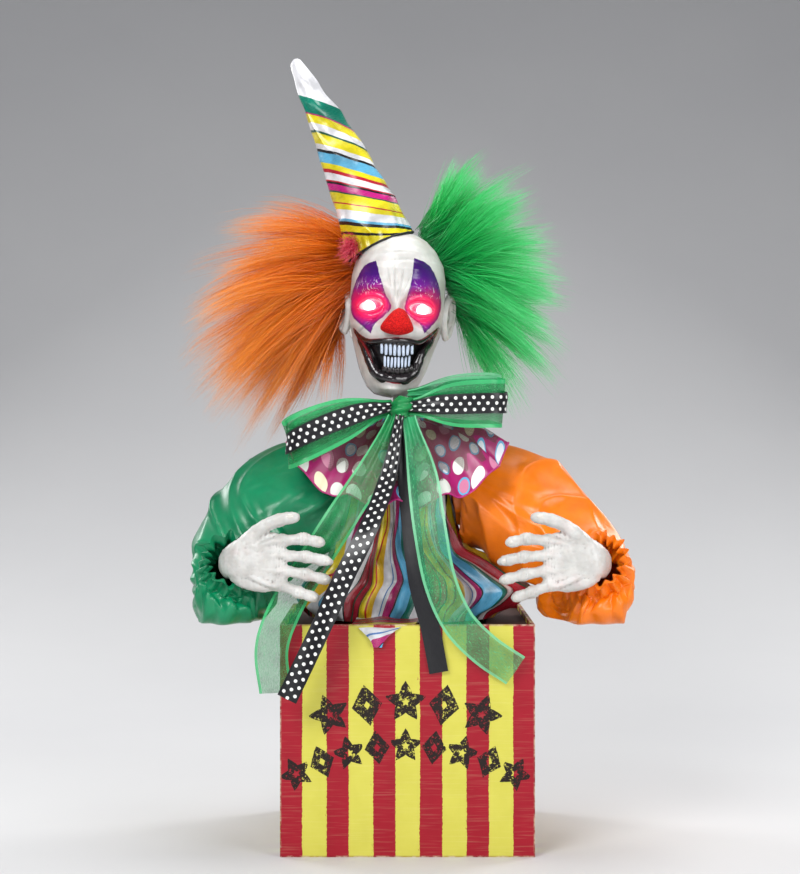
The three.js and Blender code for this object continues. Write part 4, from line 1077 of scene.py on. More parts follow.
def face_paint():
    skin, place, colour, mottle, fine, pores = vinyl_paint("painted_face", True)
    patch, mouth, glow, high = (skin.attribute(n) for n in ("patch", "mouth", "glow", "high"))
    wobble = skin.times(skin.add(fine, -0.5), 1.3)
    # Painted glow: the skin round each eye is tinted pale pink, as if lit by the eye
    halo = skin.band(glow, 23.0, 9.0)
    colour = skin.mix(skin.times(halo, 0.35), colour, (0.95, 0.32, 0.42))
    # Purple at the top of each patch, through violet, to hot pink round the eye
    up = skin.add(high, skin.times(skin.add(mottle, -0.5), 16.0))
    tone = skin.ramp(skin.spread(up, -14.0, 34.0), [
        (0.0, (0.20, 0.01, 0.22)), (0.16, (0.50, 0.01, 0.18)), (0.34, (0.70, 0.008, 0.14)),
        (0.50, (0.50, 0.008, 0.17)),
        (0.66, (0.15, 0.006, 0.24)), (0.82, (0.06, 0.004, 0.18)), (1.0, (0.03, 0.003, 0.10))])
    # Painted glow: a hotter pink close round each eye, as if lit by it
    near = skin.band(skin.add(glow, skin.times(wobble, 1.6)), 17.0, 8.5)
    tone = skin.mix(near, tone, (0.80, 0.012, 0.10))
    # Painted highlights: pale upright streaks above each eye, like gloss on fine wrinkles
    streak_noise = skin.noise(skin.scaled(place, (1, 1, 0.16)), 1.5, 2)
    highlight_streaks = skin.times(skin.band(streak_noise, 0.60, 0.66),
                        skin.times(skin.band(high, 8.0, 12.0), skin.band(high, 25.0, 17.0)))
    tone = skin.mix(skin.times(highlight_streaks, 0.75), tone, (0.92, 0.80, 0.88))
    rim = skin.band(skin.add(patch, wobble), 2.6, 0.6)
    tone = skin.mix(skin.times(rim, 0.55), tone, (0.05, 0.004, 0.13))
    covered = skin.band(skin.add(patch, wobble), -0.35, 0.35)
    colour = skin.mix(covered, colour, tone)
    # Dark lips round the mouth, with a maroon crescent at each corner
    dark = skin.band(skin.add(mouth, skin.times(wobble, 0.6)), -1.3, -0.5)
    maroon = skin.mix(skin.band(mottle, 0.4, 0.6), (0.075, 0.004, 0.008), (0.16, 0.010, 0.014))
    colour = skin.mix(dark, colour, maroon)
    colour = skin.mix(skin.band(mouth, 2.0, 3.6), colour, (0.006, 0.005, 0.006))
    shade = skin.band(mouth, -5.5, -1.2)
    colour = skin.mix(skin.times(shade, skin.times(skin.add(1.0, skin.times(dark, -1.0)), 0.40)), colour,
                      (0.14, 0.09, 0.09))
    skin.set("Base Color", colour)
    skin.set("Roughness", skin.mix(skin.most(covered, dark), (0.44, 0.44, 0.44), (0.22, 0.22, 0.22)))
    # Painted glow: the skin close round each eye gives out light of its own
    skin.set("Emission Color", (1.0, 0.012, 0.10))
    lit = skin.times(skin.math("POWER", skin.band(glow, 20.0, 5.0), 2.0), 0.75)
    skin.set("Emission Strength", lit)
    skin.bump((skin.noise(place, 7, 4), 0.22), (pores, 0.03), (covered, 0.10))
    return skin


def make_shells():
    """The painted face, with its open mouth, and the plain rear of the head."""
    paint = face_paint()
    rear = face_paint_rear()
    v = 139.4 * (1 - np.cos(np.linspace(0.02, PI - 0.02, 231))) / 2
    v = 0.25 * v + 0.75 * np.linspace(0.1, 139.3, 231)
    half = np.linspace(-1, 1, 331)
    turn = PI / 2 * (0.35 * half**3 + 0.65 * half)
    t, vv = np.meshgrid(turn, v)
    points = skull(t, vv)
    face = rolled(points)
    x, z = face[..., 0], face[..., 2]
    mouth = inside(x, z, MOUTH)
    h, up = upright(x, z)
    to_side = np.abs(h) / np.maximum(along_table(HALF_WIDTH, up), 1e-3)
    hollow = smooth(mouth, 1.0, 4.5) * smooth(to_side, 0.86, 0.62)
    face[..., 1] += 9.0 * hollow
    face[..., 1] -= 1.6 * hump(mouth, -0.2, 1.7) * smooth(to_side, 0.97, 0.80)
    patch = np.maximum(inside(x, z, PATCH_LEFT), inside(x, z, PATCH_RIGHT))
    glow = np.minimum(*(np.hypot((x - ex), (z - ez) * 1.15) for ex, ez in EYES.values()))
    middle = np.where(x < -9.5, EYES["left"][1], EYES["right"][1])
    flange = 4
    for side in (0, -1):
        lip = [face[:, side] + (HEAD_MIDDLE - face[:, side]) * [0.02 * k, 0, 0.02 * k]
               for k in range(1, flange)]
        lip = np.stack(lip if side == -1 else lip[::-1], 1)
        face = np.concatenate([face, lip] if side == -1 else [lip, face], 1)
    pad = ((0, 0), (flange - 1, flange - 1))
    extra = {k: np.pad(value, pad, mode="edge") for k, value in
             dict(patch=patch, mouth=mouth, glow=glow, high=z - middle).items()}
    shell = grid("painted_face_shell", face, paint, "head", **extra)
    placed(shell, "vinyl_skin", "face_shell")
    turn = np.linspace(PI / 2, 1.5 * PI, 141)
    t, vv = np.meshgrid(turn, v[::2])
    points = skull(t, vv)
    points[..., 1] = np.maximum(points[..., 1], HEAD_MIDDLE[1] + 0.4)
    back = rolled(points)
    field = back - HEAD_MIDDLE
    back = back + unit(field) * (0.5 * ripple(field, 26, 12))[..., None]
    back_shell = grid("rear_skull", back, rear, "head")
    placed(back_shell, "vinyl_skin", "rear_shell")
    for side in (-1, 1):
        make_ear(side, rear)


def face_paint_rear():
    skin, place, colour, _, _, pores = vinyl_paint("rear_vinyl")
    skin.set("Base Color", colour)
    skin.bump((skin.noise(place, 7, 4), 0.2), (pores, 0.03))
    return skin


def make_ear(side, paint):
    """An ear with a raised rim, a bowl and a fold. side is -1 for the left."""
    a = np.linspace(0, 2 * PI, 56, endpoint=False)
    b = np.linspace(0.04, PI - 0.04, 40)
    aa, bb = np.meshgrid(a, b)
    # Local: e1 outward, e2 back, e3 up
    up, back = np.cos(bb), np.sin(bb) * np.cos(aa)
    outward = np.sin(bb) * np.sin(aa)
    radius = np.hypot(up, back)
    rim = 2.6 * hump(radius, 0.84, 0.13) * (outward > -0.2)
    bowl = -3.6 * hump(radius, 0.3, 0.30) * (outward > 0)
    fold = 1.4 * hump(radius, 0.56, 0.09) * (up > -0.3) * (outward > 0)
    e1 = outward * 3.6 + rim + bowl + fold
    e2 = back * (10.5 - 2.5 * (up < 0) * np.abs(up)) + up * 2.0
    e3 = up * 20.0
    base = np.array([HEAD_MIDDLE[0] + side * 42.5, -17.0, 439.0])
    lean = 0.42
    x = base[0] + side * (e1 * math.cos(lean) + e2 * math.sin(lean))
    y = base[1] + e2 * math.cos(lean) - e1 * math.sin(lean)
    rows = rolled(np.stack([x, y, base[2] + e3], -1))
    ear = grid(f"ear_{'left' if side < 0 else 'right'}", rows, paint, "head", wrap=True, caps=True)


def make_mouth():
    lips = Paint("wet_black_lips", (0.008, 0.007, 0.008), 0.2, Specular_IOR_Level=0.4, Coat_Weight=0.6,
                 Coat_Roughness=0.06)
    place = lips.where()
    lips.set("Base Color", lips.mix(lips.noise(place, 6, 3), (0.004, 0.004, 0.005), (0.018, 0.012, 0.014)))
    lips.bump((lips.noise(lips.scaled(place, (1, 1, 0.5)), 3.2, 3), 0.42), (lips.noise(place, 1.1, 2), 0.05))
    lower = spline([(-40.5, 417.0), (-35.2, 407.5), (-30.6, 397.5), (-26.0, 389.0), (-19.5, 384.8),
                    (-10, 383.2),
                    (-1.5, 383.9), (5.0, 388.4), (8.4, 396.0), (12.0, 404.2), (17.8, 412.6), (22.0, 419.5)],
                    150)
    y = face_y(lower[:, 0], lower[:, 1]) + 0.6
    path = np.stack([lower[:, 0], y, lower[:, 1]], 1)
    t = np.linspace(0, 1, len(path))
    swell = 0.9 + 3.9 * np.sin(PI * t) ** 0.55
    radii = np.stack([swell, swell * 0.85], 1) * (1 + 0.05 * np.sin(t * 70))[:, None]
    parts = [(tube(path, radii, 20, (0, 0, 1)), True, True)]
    upper = spline([(-43.0, 424.5), (-37.5, 418.0), (-30.0, 414.6), (-19, 414.2), (-6.9, 414.8), (2, 414.0),
                    (9.0, 413.4), (17.0, 418.2), (25.0, 425.2)], 110)
    y = face_y(upper[:, 0], upper[:, 1]) + 0.4
    path = np.stack([upper[:, 0], y, upper[:, 1]], 1)
    t = np.linspace(0, 1, len(path))
    swell = 0.6 + 1.9 * np.sin(PI * t) ** 0.7
    parts.append((tube(path, np.stack([swell, swell], 1), 16, (0, 0, 1)), True, True))
    # Gums: rounded rows that the teeth stand in
    for z0, ends, r in [(412.0, (-23.5, 6.5), 3.4), (390.5, (-20.0, 3.2), 3.6)]:
        x = np.linspace(*ends, 60)
        z = z0 + 0.010 * (x + 8) ** 2 * (1 if z0 > 400 else 1.6)
        path = np.stack([x, face_y(x, z) + 3.6, z], 1)
        lumps = r * (1 + 0.16 * np.cos((x + 8.0) * 2 * PI / 3.5))
        parts.append((tube(path, np.stack([lumps, lumps * 0.8], 1), 14, (0, 0, 1)), True, True))
    mouth = merged("wet_lips_and_gums", parts, lips, "head")
    placed(mouth, "mouth_black", "mouth_insert")
    enamel = Paint("peg_teeth", (0.62, 0.72, 0.86), 0.18, Coat_Weight=0.6, Coat_Roughness=0.08)
    place = enamel.where()
    grey = enamel.mix(enamel.noise(place, 2.6, 3), (0.30, 0.38, 0.52), (0.72, 0.80, 0.92))
    # Painted shade: the teeth go near black in their hollows, where the pointiness is low
    stain_and_tooth_shade = enamel.band(enamel.node("NewGeometry", out="Pointiness"), 0.5, 0.44)
    enamel.set("Base Color", enamel.mix(stain_and_tooth_shade, grey, (0.03, 0.03, 0.045)))
    enamel.bump((enamel.noise(enamel.scaled(place, (1, 1, 0.2)), 0.9, 2), 0.12))
    draw = np.random.default_rng(7)
    parts = []
    for count, ends, top, bottom, wide in [(8, (-20.8, 3.8), 411.0, 401.9, 1.32),
                                           (8, (-18.4, 1.4), 401.0, 392.2, 1.02)]:
        for x in np.linspace(*ends, count):
            lean = draw.normal(0, 0.35)
            z = np.linspace(top, bottom, 14)
            curl = 0.012 * (x + 8.5) ** 2
            z = z + curl + draw.normal(0, 0.25)
            xs = x + lean * np.linspace(-0.5, 0.5, 14)
            yy = face_y(xs, np.full(14, 0.5 * (top + bottom) + curl)) + 2.4 + draw.normal(0, 0.2)
            k = np.linspace(0, 1, 14)
            rounded = np.where((k < 0.05) | (k > 0.95), 0.6, 1)
            r = wide * (0.84 + 0.22 * np.sin(PI * np.clip(k * 0.9 + 0.1, 0, 1))) * rounded
            tooth = tube(np.stack([xs, yy, z], 1), np.stack([r, r * 1.3], 1), 12, (1, 0, 0))
            parts.append((tooth, True, True))
    teeth = merged("peg_teeth", parts, enamel, "head")


def make_eyes():
    paint = Paint("glowing_eye", (0.95, 0.55, 0.62), 0.12, Coat_Weight=1.0, Coat_Roughness=0.03)
    far = paint.attribute("from_pupil")
    ring = paint.ramp(paint.spread(far, 0.0, 11.0),
                      [(0, (1, 0.95, 0.92)), (0.36, (1, 0.86, 0.84)), (0.50, (1.0, 0.42, 0.46)),
                                                       (0.72, (1.0, 0.16, 0.24)), (1.0, (0.7, 0.02, 0.08))])
    veins = paint.noise(paint.where(), 2.2, 4, 0.7)
    paint.set("Base Color", paint.mix(paint.times(paint.band(veins, 0.55, 0.7), 0.4), (0.9, 0.75, 0.78),
                                      (0.7, 0.05, 0.08)))
    paint.set("Emission Color", ring)
    paint.set("Emission Strength", paint.spread(paint.band(far, 6.2, 3.0), 0, 1, 0.45, 6.0))
    parts, away = [], []
    for x, z in EYES.values():
        y = float(face_y(x, z)) + 5.2
        b = np.linspace(0.03, PI - 0.03, 32)
        k = np.linspace(0, 2 * PI, 40, endpoint=False)
        kk, bb = np.meshgrid(k, b)
        r = 9.3
        rows = np.stack([x + r * np.sin(bb) * np.cos(kk), y - r * np.cos(bb),
                         z + r * 0.93 * np.sin(bb) * np.sin(kk)], -1)
        parts.append((rows, True, True))
        away.append(np.hypot(rows[..., 0] - x, rows[..., 2] - z).ravel() + (rows[..., 1] > y).ravel() * 6)
    eyes = merged("glowing_eyes", parts, paint, "head", from_pupil=np.concatenate(away))
    placed(eyes, "eye_glow", "eye_unit")
    # Lids: a rounded rim above and below each eye
    rim_paint = Paint("painted_lids", (0.7, 0.03, 0.2), 0.25, Coat_Weight=0.4, Coat_Roughness=0.15)
    place = rim_paint.where()
    rim_paint.set("Base Color", rim_paint.mix(rim_paint.noise(place, 3, 4), (0.55, 0.01, 0.10),
                                              (0.85, 0.10, 0.20)))
    # Painted glow: the lids give out a faint pink-red light of their own
    rim_paint.set("Emission Color", (1.0, 0.02, 0.1))
    rim_paint.set("Emission Strength", 0.3)
    rim_paint.bump((rim_paint.noise(place, 1.6, 3), 0.2))
    parts = []
    for side, (x, z) in ((-1, EYES["left"]), (1, EYES["right"])):
        for lid, rise, drop in ((1, 6.0, 1.2), (-1, 4.6, -0.4)):
            u = np.linspace(-1, 1, 46)
            px = x + 11.0 * u
            pz = z + lid * (rise * (1 - u**2) ** 0.75) - 1.0 * u * side + drop * 0.3
            py = face_y(px, pz) - 0.4 - 2.2 * (1 - u**2) * 0.6
            r = 0.35 + 1.05 * (1 - u**2) ** 0.5
            parts.append((tube(np.stack([px, py, pz], 1), r, 12, (0, 0, 1)), True, True))
    lids = merged("painted_lids", parts, rim_paint, "head")


def make_nose():
    foam = Paint("red_foam", (0.62, 0.012, 0.010), 0.8, Specular_IOR_Level=0.25)
    place = foam.where()
    cells = foam.node("TexVoronoi", {"Vector": place, "Scale": 1000 / 1.1}, out="Distance")
    tone = foam.noise(place, 6, 3)
    # Painted shade: the foam is darker in the grooves between its cells, which the bump presses in
    foam.set("Base Color", foam.mix(foam.band(cells, 0.2, 0.7),
                                    foam.mix(tone, (0.62, 0.004, 0.004), (0.84, 0.016, 0.010)),
                                    (0.42, 0.002, 0.003)))
    foam.bump((cells, -0.28), (foam.noise(place, 5, 3), 0.5))
    corners = [(-6.9, 441.0), (-1.0, 437.5), (5.0, 424.5), (1.5, 420.3), (-7.5, 418.7), (-18.5, 421.0),
               (-21.8, 426.0), (-13.0, 437.2), (-6.9, 441.0)]
    rim = spline(corners, 73)[:-1]
    middle = np.array([-7.8, 428.6])
    k = np.linspace(0.02, PI / 2 + 0.6, 34)
    kk = np.repeat(k[:, None], len(rim), 1)
    reach = np.sin(np.minimum(kk, PI / 2)) ** 0.9 * np.where(kk > PI / 2, np.cos((kk - PI / 2) * 0.8), 1)
    flat = middle + (rim - middle)[None] * reach[..., None]
    depth = 11.5 * np.cos(kk)
    base = float(face_y(-7.5, 428)) + 2.5
    rows = np.stack([flat[..., 0], base - depth, flat[..., 1]], -1)
    nose = grid("foam_nose", rows, foam, "head", wrap=True, caps=True)
    placed(nose, "red_foam", "nose")


# The hat's stripes from its tip down to its rim: colour, and width in the cloth's own units
HAT_STRIPES = [
    ((0.80, 0.80, 0.83), 158), ((0.0, 0.20, 0.13), 66), ((0.50, 0.01, 0.18), 6), ((0.80, 0.68, 0.012), 32),
    ((0.80, 0.80, 0.83), 32), ((0.0, 0.09, 0.05), 8), ((0.80, 0.68, 0.012), 45), ((0.80, 0.80, 0.83), 22),
    ((0.008, 0.008, 0.01), 12), ((0.12, 0.44, 0.68), 43), ((0.80, 0.68, 0.012), 24), ((0.50, 0.01, 0.03), 15),
    ((0.80, 0.80, 0.83), 30), ((0.50, 0.01, 0.03), 7), ((0.008, 0.008, 0.01), 7), ((0.52, 0.012, 0.20), 26),
    ((0.0, 0.09, 0.05), 7), ((0.80, 0.68, 0.012), 38), ((0.50, 0.01, 0.03), 8), ((0.80, 0.68, 0.012), 22),
    ((0.80, 0.80, 0.83), 40), ((0.12, 0.44, 0.68), 11), ((0.008, 0.008, 0.01), 15), ((0.80, 0.68, 0.012), 28),
    ((0.008, 0.008, 0.01), 10), ((0.80, 0.68, 0.012), 50),
]


def make_hat():
    paint = Paint("hat_satin", (0.7, 0.7, 0.7), 0.26, **SATIN)
    paint.set("Anisotropic", 0.5)
    place = paint.where()
    cloth = paint.where("UV")
    run = paint.add(paint.attribute("stripe"), paint.wobble(place, 26, 2, 0.016))
    colour = stripes(paint, run, HAT_STRIPES)
    threads = paint.noise(paint.scaled(cloth, (0.06, 1, 1)), 0.5, 2)
    # Painted shade: broad patches darkened about a third of the way to black, like the shade in folds
    blotch_shade = paint.noise(place, 22, 3)
    colour = paint.mix(paint.times(paint.band(blotch_shade, 0.60, 0.36), 0.35), colour, (0.0, 0.0, 0.0))
    paint.set("Base Color", paint.mix(paint.times(threads, 0.14), colour, (0.02, 0.02, 0.02)))
    paint.roughened(threads, 0.2, 0.36)
    paint.bump((paint.noise(place, 9, 4), 0.3), (threads, 0.012))
    n, m = 170, 201
    path = spline([(-22, -18, 500), (-31, -18, 520), (-44, -18, 548), (-60, -18, 583), (-78, -18, 620),
                   (-95, -18, 654)], n)
    t = np.linspace(0, 1, n)[:, None]
    radius = 29.5 * (1 - t) ** 0.92 + 4.2 * t + 1.2 * np.sin(PI * t)
    a = np.linspace(0, 2 * PI, m)[None]
    _, across, out = frames(path, (1, 0, 0))
    flat = np.stack([np.cos(a) * 22 + 0 * t, np.sin(a) * 22 + 0 * t, t * 170 + 0 * a], -1)
    # Slack satin: a few long slanting creases, and puckers at the stitched rim
    slanted = flat @ np.array([[1, 0, 0], [0, 1, 0], [0.5, 0.3, 0.7]])
    crease = 1 - np.abs(np.tanh(1.6 * ripple(slanted, 40, 41, 8)))
    gathers = 0.9 * np.cos(19 * a + 2 * np.sin(3 * a)) * smooth(t, 0.10, 0.0)
    wave = crease * 2.3 - 1.2 + 0.5 * ripple(flat, 16, 42) + gathers
    wave = wave * smooth(t, -0.02, 0.04) * (0.35 + 0.65 * smooth(t, 1.0, 0.8))
    tip = np.sqrt(np.clip(1 - ((t - 0.975) / 0.025).clip(0, 1) ** 2, 0.01, 1))
    r = (radius + wave) * tip
    rows = (path[:, None] + across[:, None] * (r * np.cos(a))[..., None]
            + out[:, None] * (r * np.sin(a))[..., None])
    dip = 5.0 * np.cos(a) ** 2 - 1.0 + 0.5 * np.clip(-np.cos(a), 0, 1) + 3.0 * np.clip(-np.sin(a), 0, 1)
    rows[..., 2] -= dip * smooth(t, 0.14, 0.0) * 0.9
    rows[:, -1] = rows[:, 0]
    x, z = rows[..., 0], rows[..., 2]
    left_x = path[:, 0][:, None] - radius * 0.9
    slope = np.interp(t, [0, 0.12, 0.45, 1], [0.06, 0.24, 0.44, 0.48])
    level = z + slope * (x - left_x)
    rim_z, tip_z = 506.0, 657.0
    stripe = np.clip((tip_z - level) / (tip_z - rim_z) * (712 / 762), 0.0, 0.999)
    run = run_along(path)
    uv = np.stack(np.meshgrid(a[0] * 20, run), -1)
    hat = grid("striped_hat", rows, paint, "head", uv, stripe=stripe)
    placed(hat, "striped_satin", "hat")
    # A flat cone: 29.5 mm in radius at the rim, 4.2 mm at the tip and 178 mm along its side
    rim = rows[0]
    hem = tube_mesh("hat_hem", rim, np.full(len(rim), 1.0), 8, PAINTS["black"], "head", (0, 0.2, 1),
                    across=np.zeros((len(rim), 8)))


def make_head():
    make_shells()
    make_mouth()
    make_eyes()
    make_nose()
    make_hat()


# ---- The hands ----
PALM = [(-143.5, -100, 234, 8, 12), (-142, -107, 236, 8, 12.5), (-133, -115, 238, 8.5, 17),
        (-114, -119, 239, 8.5, 22), (-101, -119.5, 236, 7, 22.5), (-96, -119, 236, 4, 20)]
FINGERS = [
    [(-100, 254), (-82, 255.5), (-65, 252)],
    [(-100, 242.5), (-80, 241.5), (-59, 237)],
    [(-100, 231), (-80, 227.5), (-60, 222)],
    [(-101, 219.5), (-86, 213.5), (-70, 208)],
]
THUMB = [(-131, -117, 250, 6.4), (-121, -120, 259, 6.2), (-112, -122.5, 266, 5.2), (-101, -123.5, 270.5, 5.4),
         (-90, -122.5, 272.5, 4.6), (-85.5, -121, 273, 2.4)]


HAND_MIRROR = 12.0  # the right hand is the left one, at this less its own X


def finger(points):
    """The rounded joints of one finger, from the back of the hand to its tip: x, y, z and radius."""
    (kx, kz), (jx, jz), (tx, tz) = points
    way = unit(np.array([tx - jx, tz - jz], float))
    return spline([
        (kx - 9, -119, kz * 0.9 + 23.6, 4.6), (kx, -121.2, kz, 5.9),
        (kx + 0.32 * (jx - kx), -121.8, kz + 0.32 * (jz - kz), 4.5),
        (kx + 0.72 * (jx - kx), -122.6, kz + 0.72 * (jz - kz), 4.4), (jx, -123.4, jz, 5.35),
        (jx + 0.3 * (tx - jx), -122.8, jz + 0.3 * (tz - jz), 4.25),
        (jx + 0.55 * (tx - jx), -122.2, jz + 0.55 * (tz - jz), 4.75),
        (jx + 0.8 * (tx - jx), -121.3, jz + 0.8 * (tz - jz), 4.05),
        (tx - 1.2 * way[0], -120.2, tz - 1.2 * way[1], 2.6), (tx, -119.8, tz, 1.2),
    ], 60)


def make_hand(side, node, arm, paint, nail_paint, name):
    """A vinyl hand in one skin: palm, fingers, thumb and tendons are fused, then creased at the joints."""
    parts = []
    palm = spline(PALM, 50)
    parts.append((tube(palm[:, :3], np.stack([palm[:, 4], palm[:, 3]], 1), 36, (0, 0, 1)), True, True))
    nails = []

    def add(curve, sides=18):
        parts.append((tube(curve[:, :3], curve[:, 3], sides, (0, 0, 1)), True, True))

    def nail(at, way, wide, long):
        """A domed plate that lies along the finger at its tip."""
        k = np.linspace(0.05, PI - 0.05, 16)
        a = np.linspace(0, 2 * PI, 20, endpoint=False)
        aa, kk = np.meshgrid(a, k)
        across = np.array([-way[2], 0, way[0]])
        flat = np.cos(aa)[..., None] * way * long + np.sin(aa)[..., None] * across * wide
        rows = at + np.sin(kk)[..., None] * flat
        rows = rows + np.array([0, -1.0, 0]) * (np.cos(kk) * 0.9)[..., None]
        rows = rows + np.array([0, 1.0, 0]) * ((np.sin(kk) * np.sin(aa)) ** 2 * 0.9)[..., None]
        nails.append((rows, True, True))

    for points in FINGERS:
        curve = finger(points)
        add(curve)
        kx, kz = points[0]
        root = np.array([-140, -111.5, 236 + (kz - 236) * 0.32])
        tendon = spline([(*root, 1.4), (-124, -123.0, 236 + (kz - 236) * 0.62, 2.0),
                         (kx - 6, -125.6, kz - 0.3, 2.4),
                         (kx + 2, -125.2, kz, 2.2), (kx + 7, -123.5, kz, 0.8)], 40)
        add(tendon, 12)
        tip, before = curve[-9], curve[-16]
        way = unit(tip[:3] - before[:3])
        nail(tip[:3] + np.array([0, -3.6, 0]), way, 2.5, 3.5)
    thumb = spline(THUMB, 60)
    add(thumb)
    way = unit(thumb[-6, :3] - thumb[-14, :3])
    nail(thumb[-10, :3] + np.array([0, -4.2, 0.6]), way, 2.8, 3.8)
    add(spline([(-136, -113, 244, 6.5), (-130, -117, 250, 7.0), (-121, -119, 253, 6.0),
                (-113, -119, 252, 4.0)], 30))
    add(spline([(-139, -110, 226, 5.0), (-128, -116, 222, 6.5), (-114, -118.5, 219, 6.0),
                (-103, -119, 219, 4.0)], 30))
    for curve in (parts, nails):
        for i, (rows, wrap, caps) in enumerate(curve):
            if side > 0:
                rows = rows.copy()
                rows[..., 0] = HAND_MIRROR - rows[..., 0]
                rows = rows[:, ::-1]
            curve[i] = (rows, wrap, caps)
    made = merged(name, parts, paint, None)
    modify(made, "REMESH", mode="VOXEL", voxel_size=0.95 * MM, use_smooth_shade=True)
    modify(made, "SMOOTH", factor=0.5, iterations=7)
    baked = bpy.data.meshes.new_from_object(made.evaluated_get(bpy.context.evaluated_depsgraph_get()))
    made.modifiers.clear()
    made.data = baked
    points = np.empty(len(baked.vertices) * 3)
    baked.vertices.foreach_get("co", points)
    points = points.reshape(-1, 3) / MM
    # Skin folds over each joint, and a little slackness all over
    local = points.copy()
    if side > 0:
        local[:, 0] = HAND_MIRROR - local[:, 0]
    shift = 0.16 * ripple(local, 5.5, 51) + 0.10 * ripple(local, 2.6, 52)
    for joints in FINGERS:
        for (jx, jz), strength in ((joints[0], 0.5), (joints[1], 0.75)):
            run = local[:, 0] - jx
            close = np.exp(-((run / 5.0) ** 2) - ((local[:, 2] - jz) / 5.5) ** 2) * (local[:, 1] < -119)
            shift += close * strength * 0.55 * np.cos(run * 2 * PI / 2.3)
        jx, jz = (joints[1][0] + 0.55 * (joints[2][0] - joints[1][0]), joints[1][1]
                  + 0.55 * (joints[2][1] - joints[1][1]))
        run = local[:, 0] - jx
        close = np.exp(-((run / 3.4) ** 2) - ((local[:, 2] - jz) / 5) ** 2) * (local[:, 1] < -119)
        shift += close * 0.32 * np.cos(run * 2 * PI / 1.9)
    normals = np.empty(len(baked.vertices) * 3)
    baked.vertices.foreach_get("normal", normals)
    points += normals.reshape(-1, 3) * shift[:, None]
    baked.vertices.foreach_set("co", (points * MM).ravel())
    baked.update()
    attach(made, arm)
    placed(made, "vinyl_skin", node)
    plates = merged(name.replace("hand", "nails"), nails, nail_paint, arm)


def make_hands():
    skin, place, colour, _, _, pores = vinyl_paint("hand_vinyl")
    skin.set("Base Color", colour)
    skin.bump((skin.noise(place, 5, 4), 0.16), (pores, 0.03))
    nail_paint = Paint("nail_vinyl", (0.62, 0.60, 0.55), 0.25, Coat_Weight=0.5, Coat_Roughness=0.12)
    place = nail_paint.where()
    ridges = nail_paint.noise(nail_paint.scaled(place, (0.2, 1, 1)), 0.8, 2)
    nail_paint.set("Base Color", nail_paint.mix(nail_paint.noise(place, 3, 3), (0.50, 0.47, 0.42),
                                                (0.74, 0.71, 0.66)))
    nail_paint.bump((ridges, 0.05))
    make_hand(-1, "left_hand", "left_arm", skin, nail_paint, "vinyl_hand_left")
    make_hand(1, "right_hand", "right_arm", skin, nail_paint, "vinyl_hand_right")


# ---- Hair ----
def hair_paint(name, deep, mid, tip):
    paint = Paint(name, mid, 0.5, Sheen_Weight=0.0)
    along = paint.attribute("along")
    tone = paint.attribute("tone")
    colour = paint.ramp(along, [(0, deep), (0.4, mid), (1.0, tip)])
    colour = paint.mix(paint.spread(tone, 0, 1, 0.0, 0.5), colour, dim(deep, 0.35))
    colour = paint.mix(paint.times(paint.band(tone, 0.22, 0.0), 0.5), colour,
                       tuple(min(1, 1.35 * c + 0.02) for c in tip))
    paint.set("Base Color", colour)
    fibres = paint.noise(paint.where(), 3, 3)
    paint.roughened(fibres, 0.34, 0.5)
    return paint


def strands(name, roots, ways, lengths, droop, clump, paint, body, seed, steps=6, wide=0.42, curl=4.0):
    """Fine tapered hairs. Each follows its lock's path, and draws in towards it near the tip."""
    draw = np.random.default_rng(seed)
    n = len(roots)
    lock_root, lock_way, lock_of = clump
    t = np.linspace(0, 1, steps + 1)[None, :, None]
    length = lengths[:, None, None]
    ways = unit(ways * 0.55 + lock_way[lock_of] * 0.75)
    fall = np.array([0, 0, -1.0])
    bend = draw.normal(size=(len(lock_root), 3))[lock_of]
    path = roots[:, None] + ways[:, None] * length * t + fall * droop[:, None, None] * t**2.1
    path = path + bend[:, None] * curl * np.sin(t * PI * 0.9) * t
    lock = lock_root[lock_of][:, None] + lock_way[lock_of][:, None] * length * t + fall * droop[:, None,
                                                                                                None] * t**2.1
    lock = lock + bend[:, None] * curl * np.sin(t * PI * 0.9) * t
    pull = 0.60 * t**1.3
    path = path * (1 - pull) + lock * pull + draw.normal(size=(n, 1, 3)) * 1.5 * t
    path = path + draw.normal(size=(n, steps + 1, 3)) * 0.35 * t
    # Tips curl in, rather than reach too far to the back or the left
    for axis, turn_from, turn_to in ((1, 88.0, 112.0), (0, -178.0, -204.0)):
        past = np.clip((path[..., axis] - turn_from) / (turn_to - turn_from), 0, None)
        held = turn_from + (turn_to - turn_from) * np.tanh(past)
        path[..., axis] = np.where(past > 0, held, path[..., axis])
    along = unit(np.gradient(path, axis=1))
    side = unit(np.cross(along, draw.normal(size=(n, 1, 3))))
    half = wide * (1 - t) ** 0.7 * draw.uniform(0.6, 1.15, (n, 1, 1)) * 0.5
    left, right = (path - side * half)[:, :-1], (path + side * half)[:, :-1]
    body_points = np.stack([left, right], 2).reshape(n, steps * 2, 3)
    points = np.concatenate([body_points, path[:, -1:]], 1)
    k = np.arange(steps - 1)
    quads = np.stack([2 * k, 2 * k + 1, 2 * k + 3, 2 * k + 2], 1)
    start = (np.arange(n) * (steps * 2 + 1))[:, None, None]
    faces = (quads[None] + start).reshape(-1, 4).tolist()
    last = np.array([[2 * steps - 2, 2 * steps - 1, 2 * steps]])
    faces += (last[None] + start).reshape(-1, 3).tolist()
    place = np.concatenate([np.repeat(np.linspace(0, 1, steps + 1)[:-1], 2), [1.0]])
    tone = np.repeat(draw.uniform(0, 1, (n, 1)) * 0.7 + 0.3 * draw.uniform(0, 1,
                                                                           len(lock_root))[lock_of][:, None],
                     steps * 2 + 1, 1)
    made = mesh(name, points, faces, paint, body, shade=True, along=np.tile(place, (n, 1)), tone=tone)
    return made


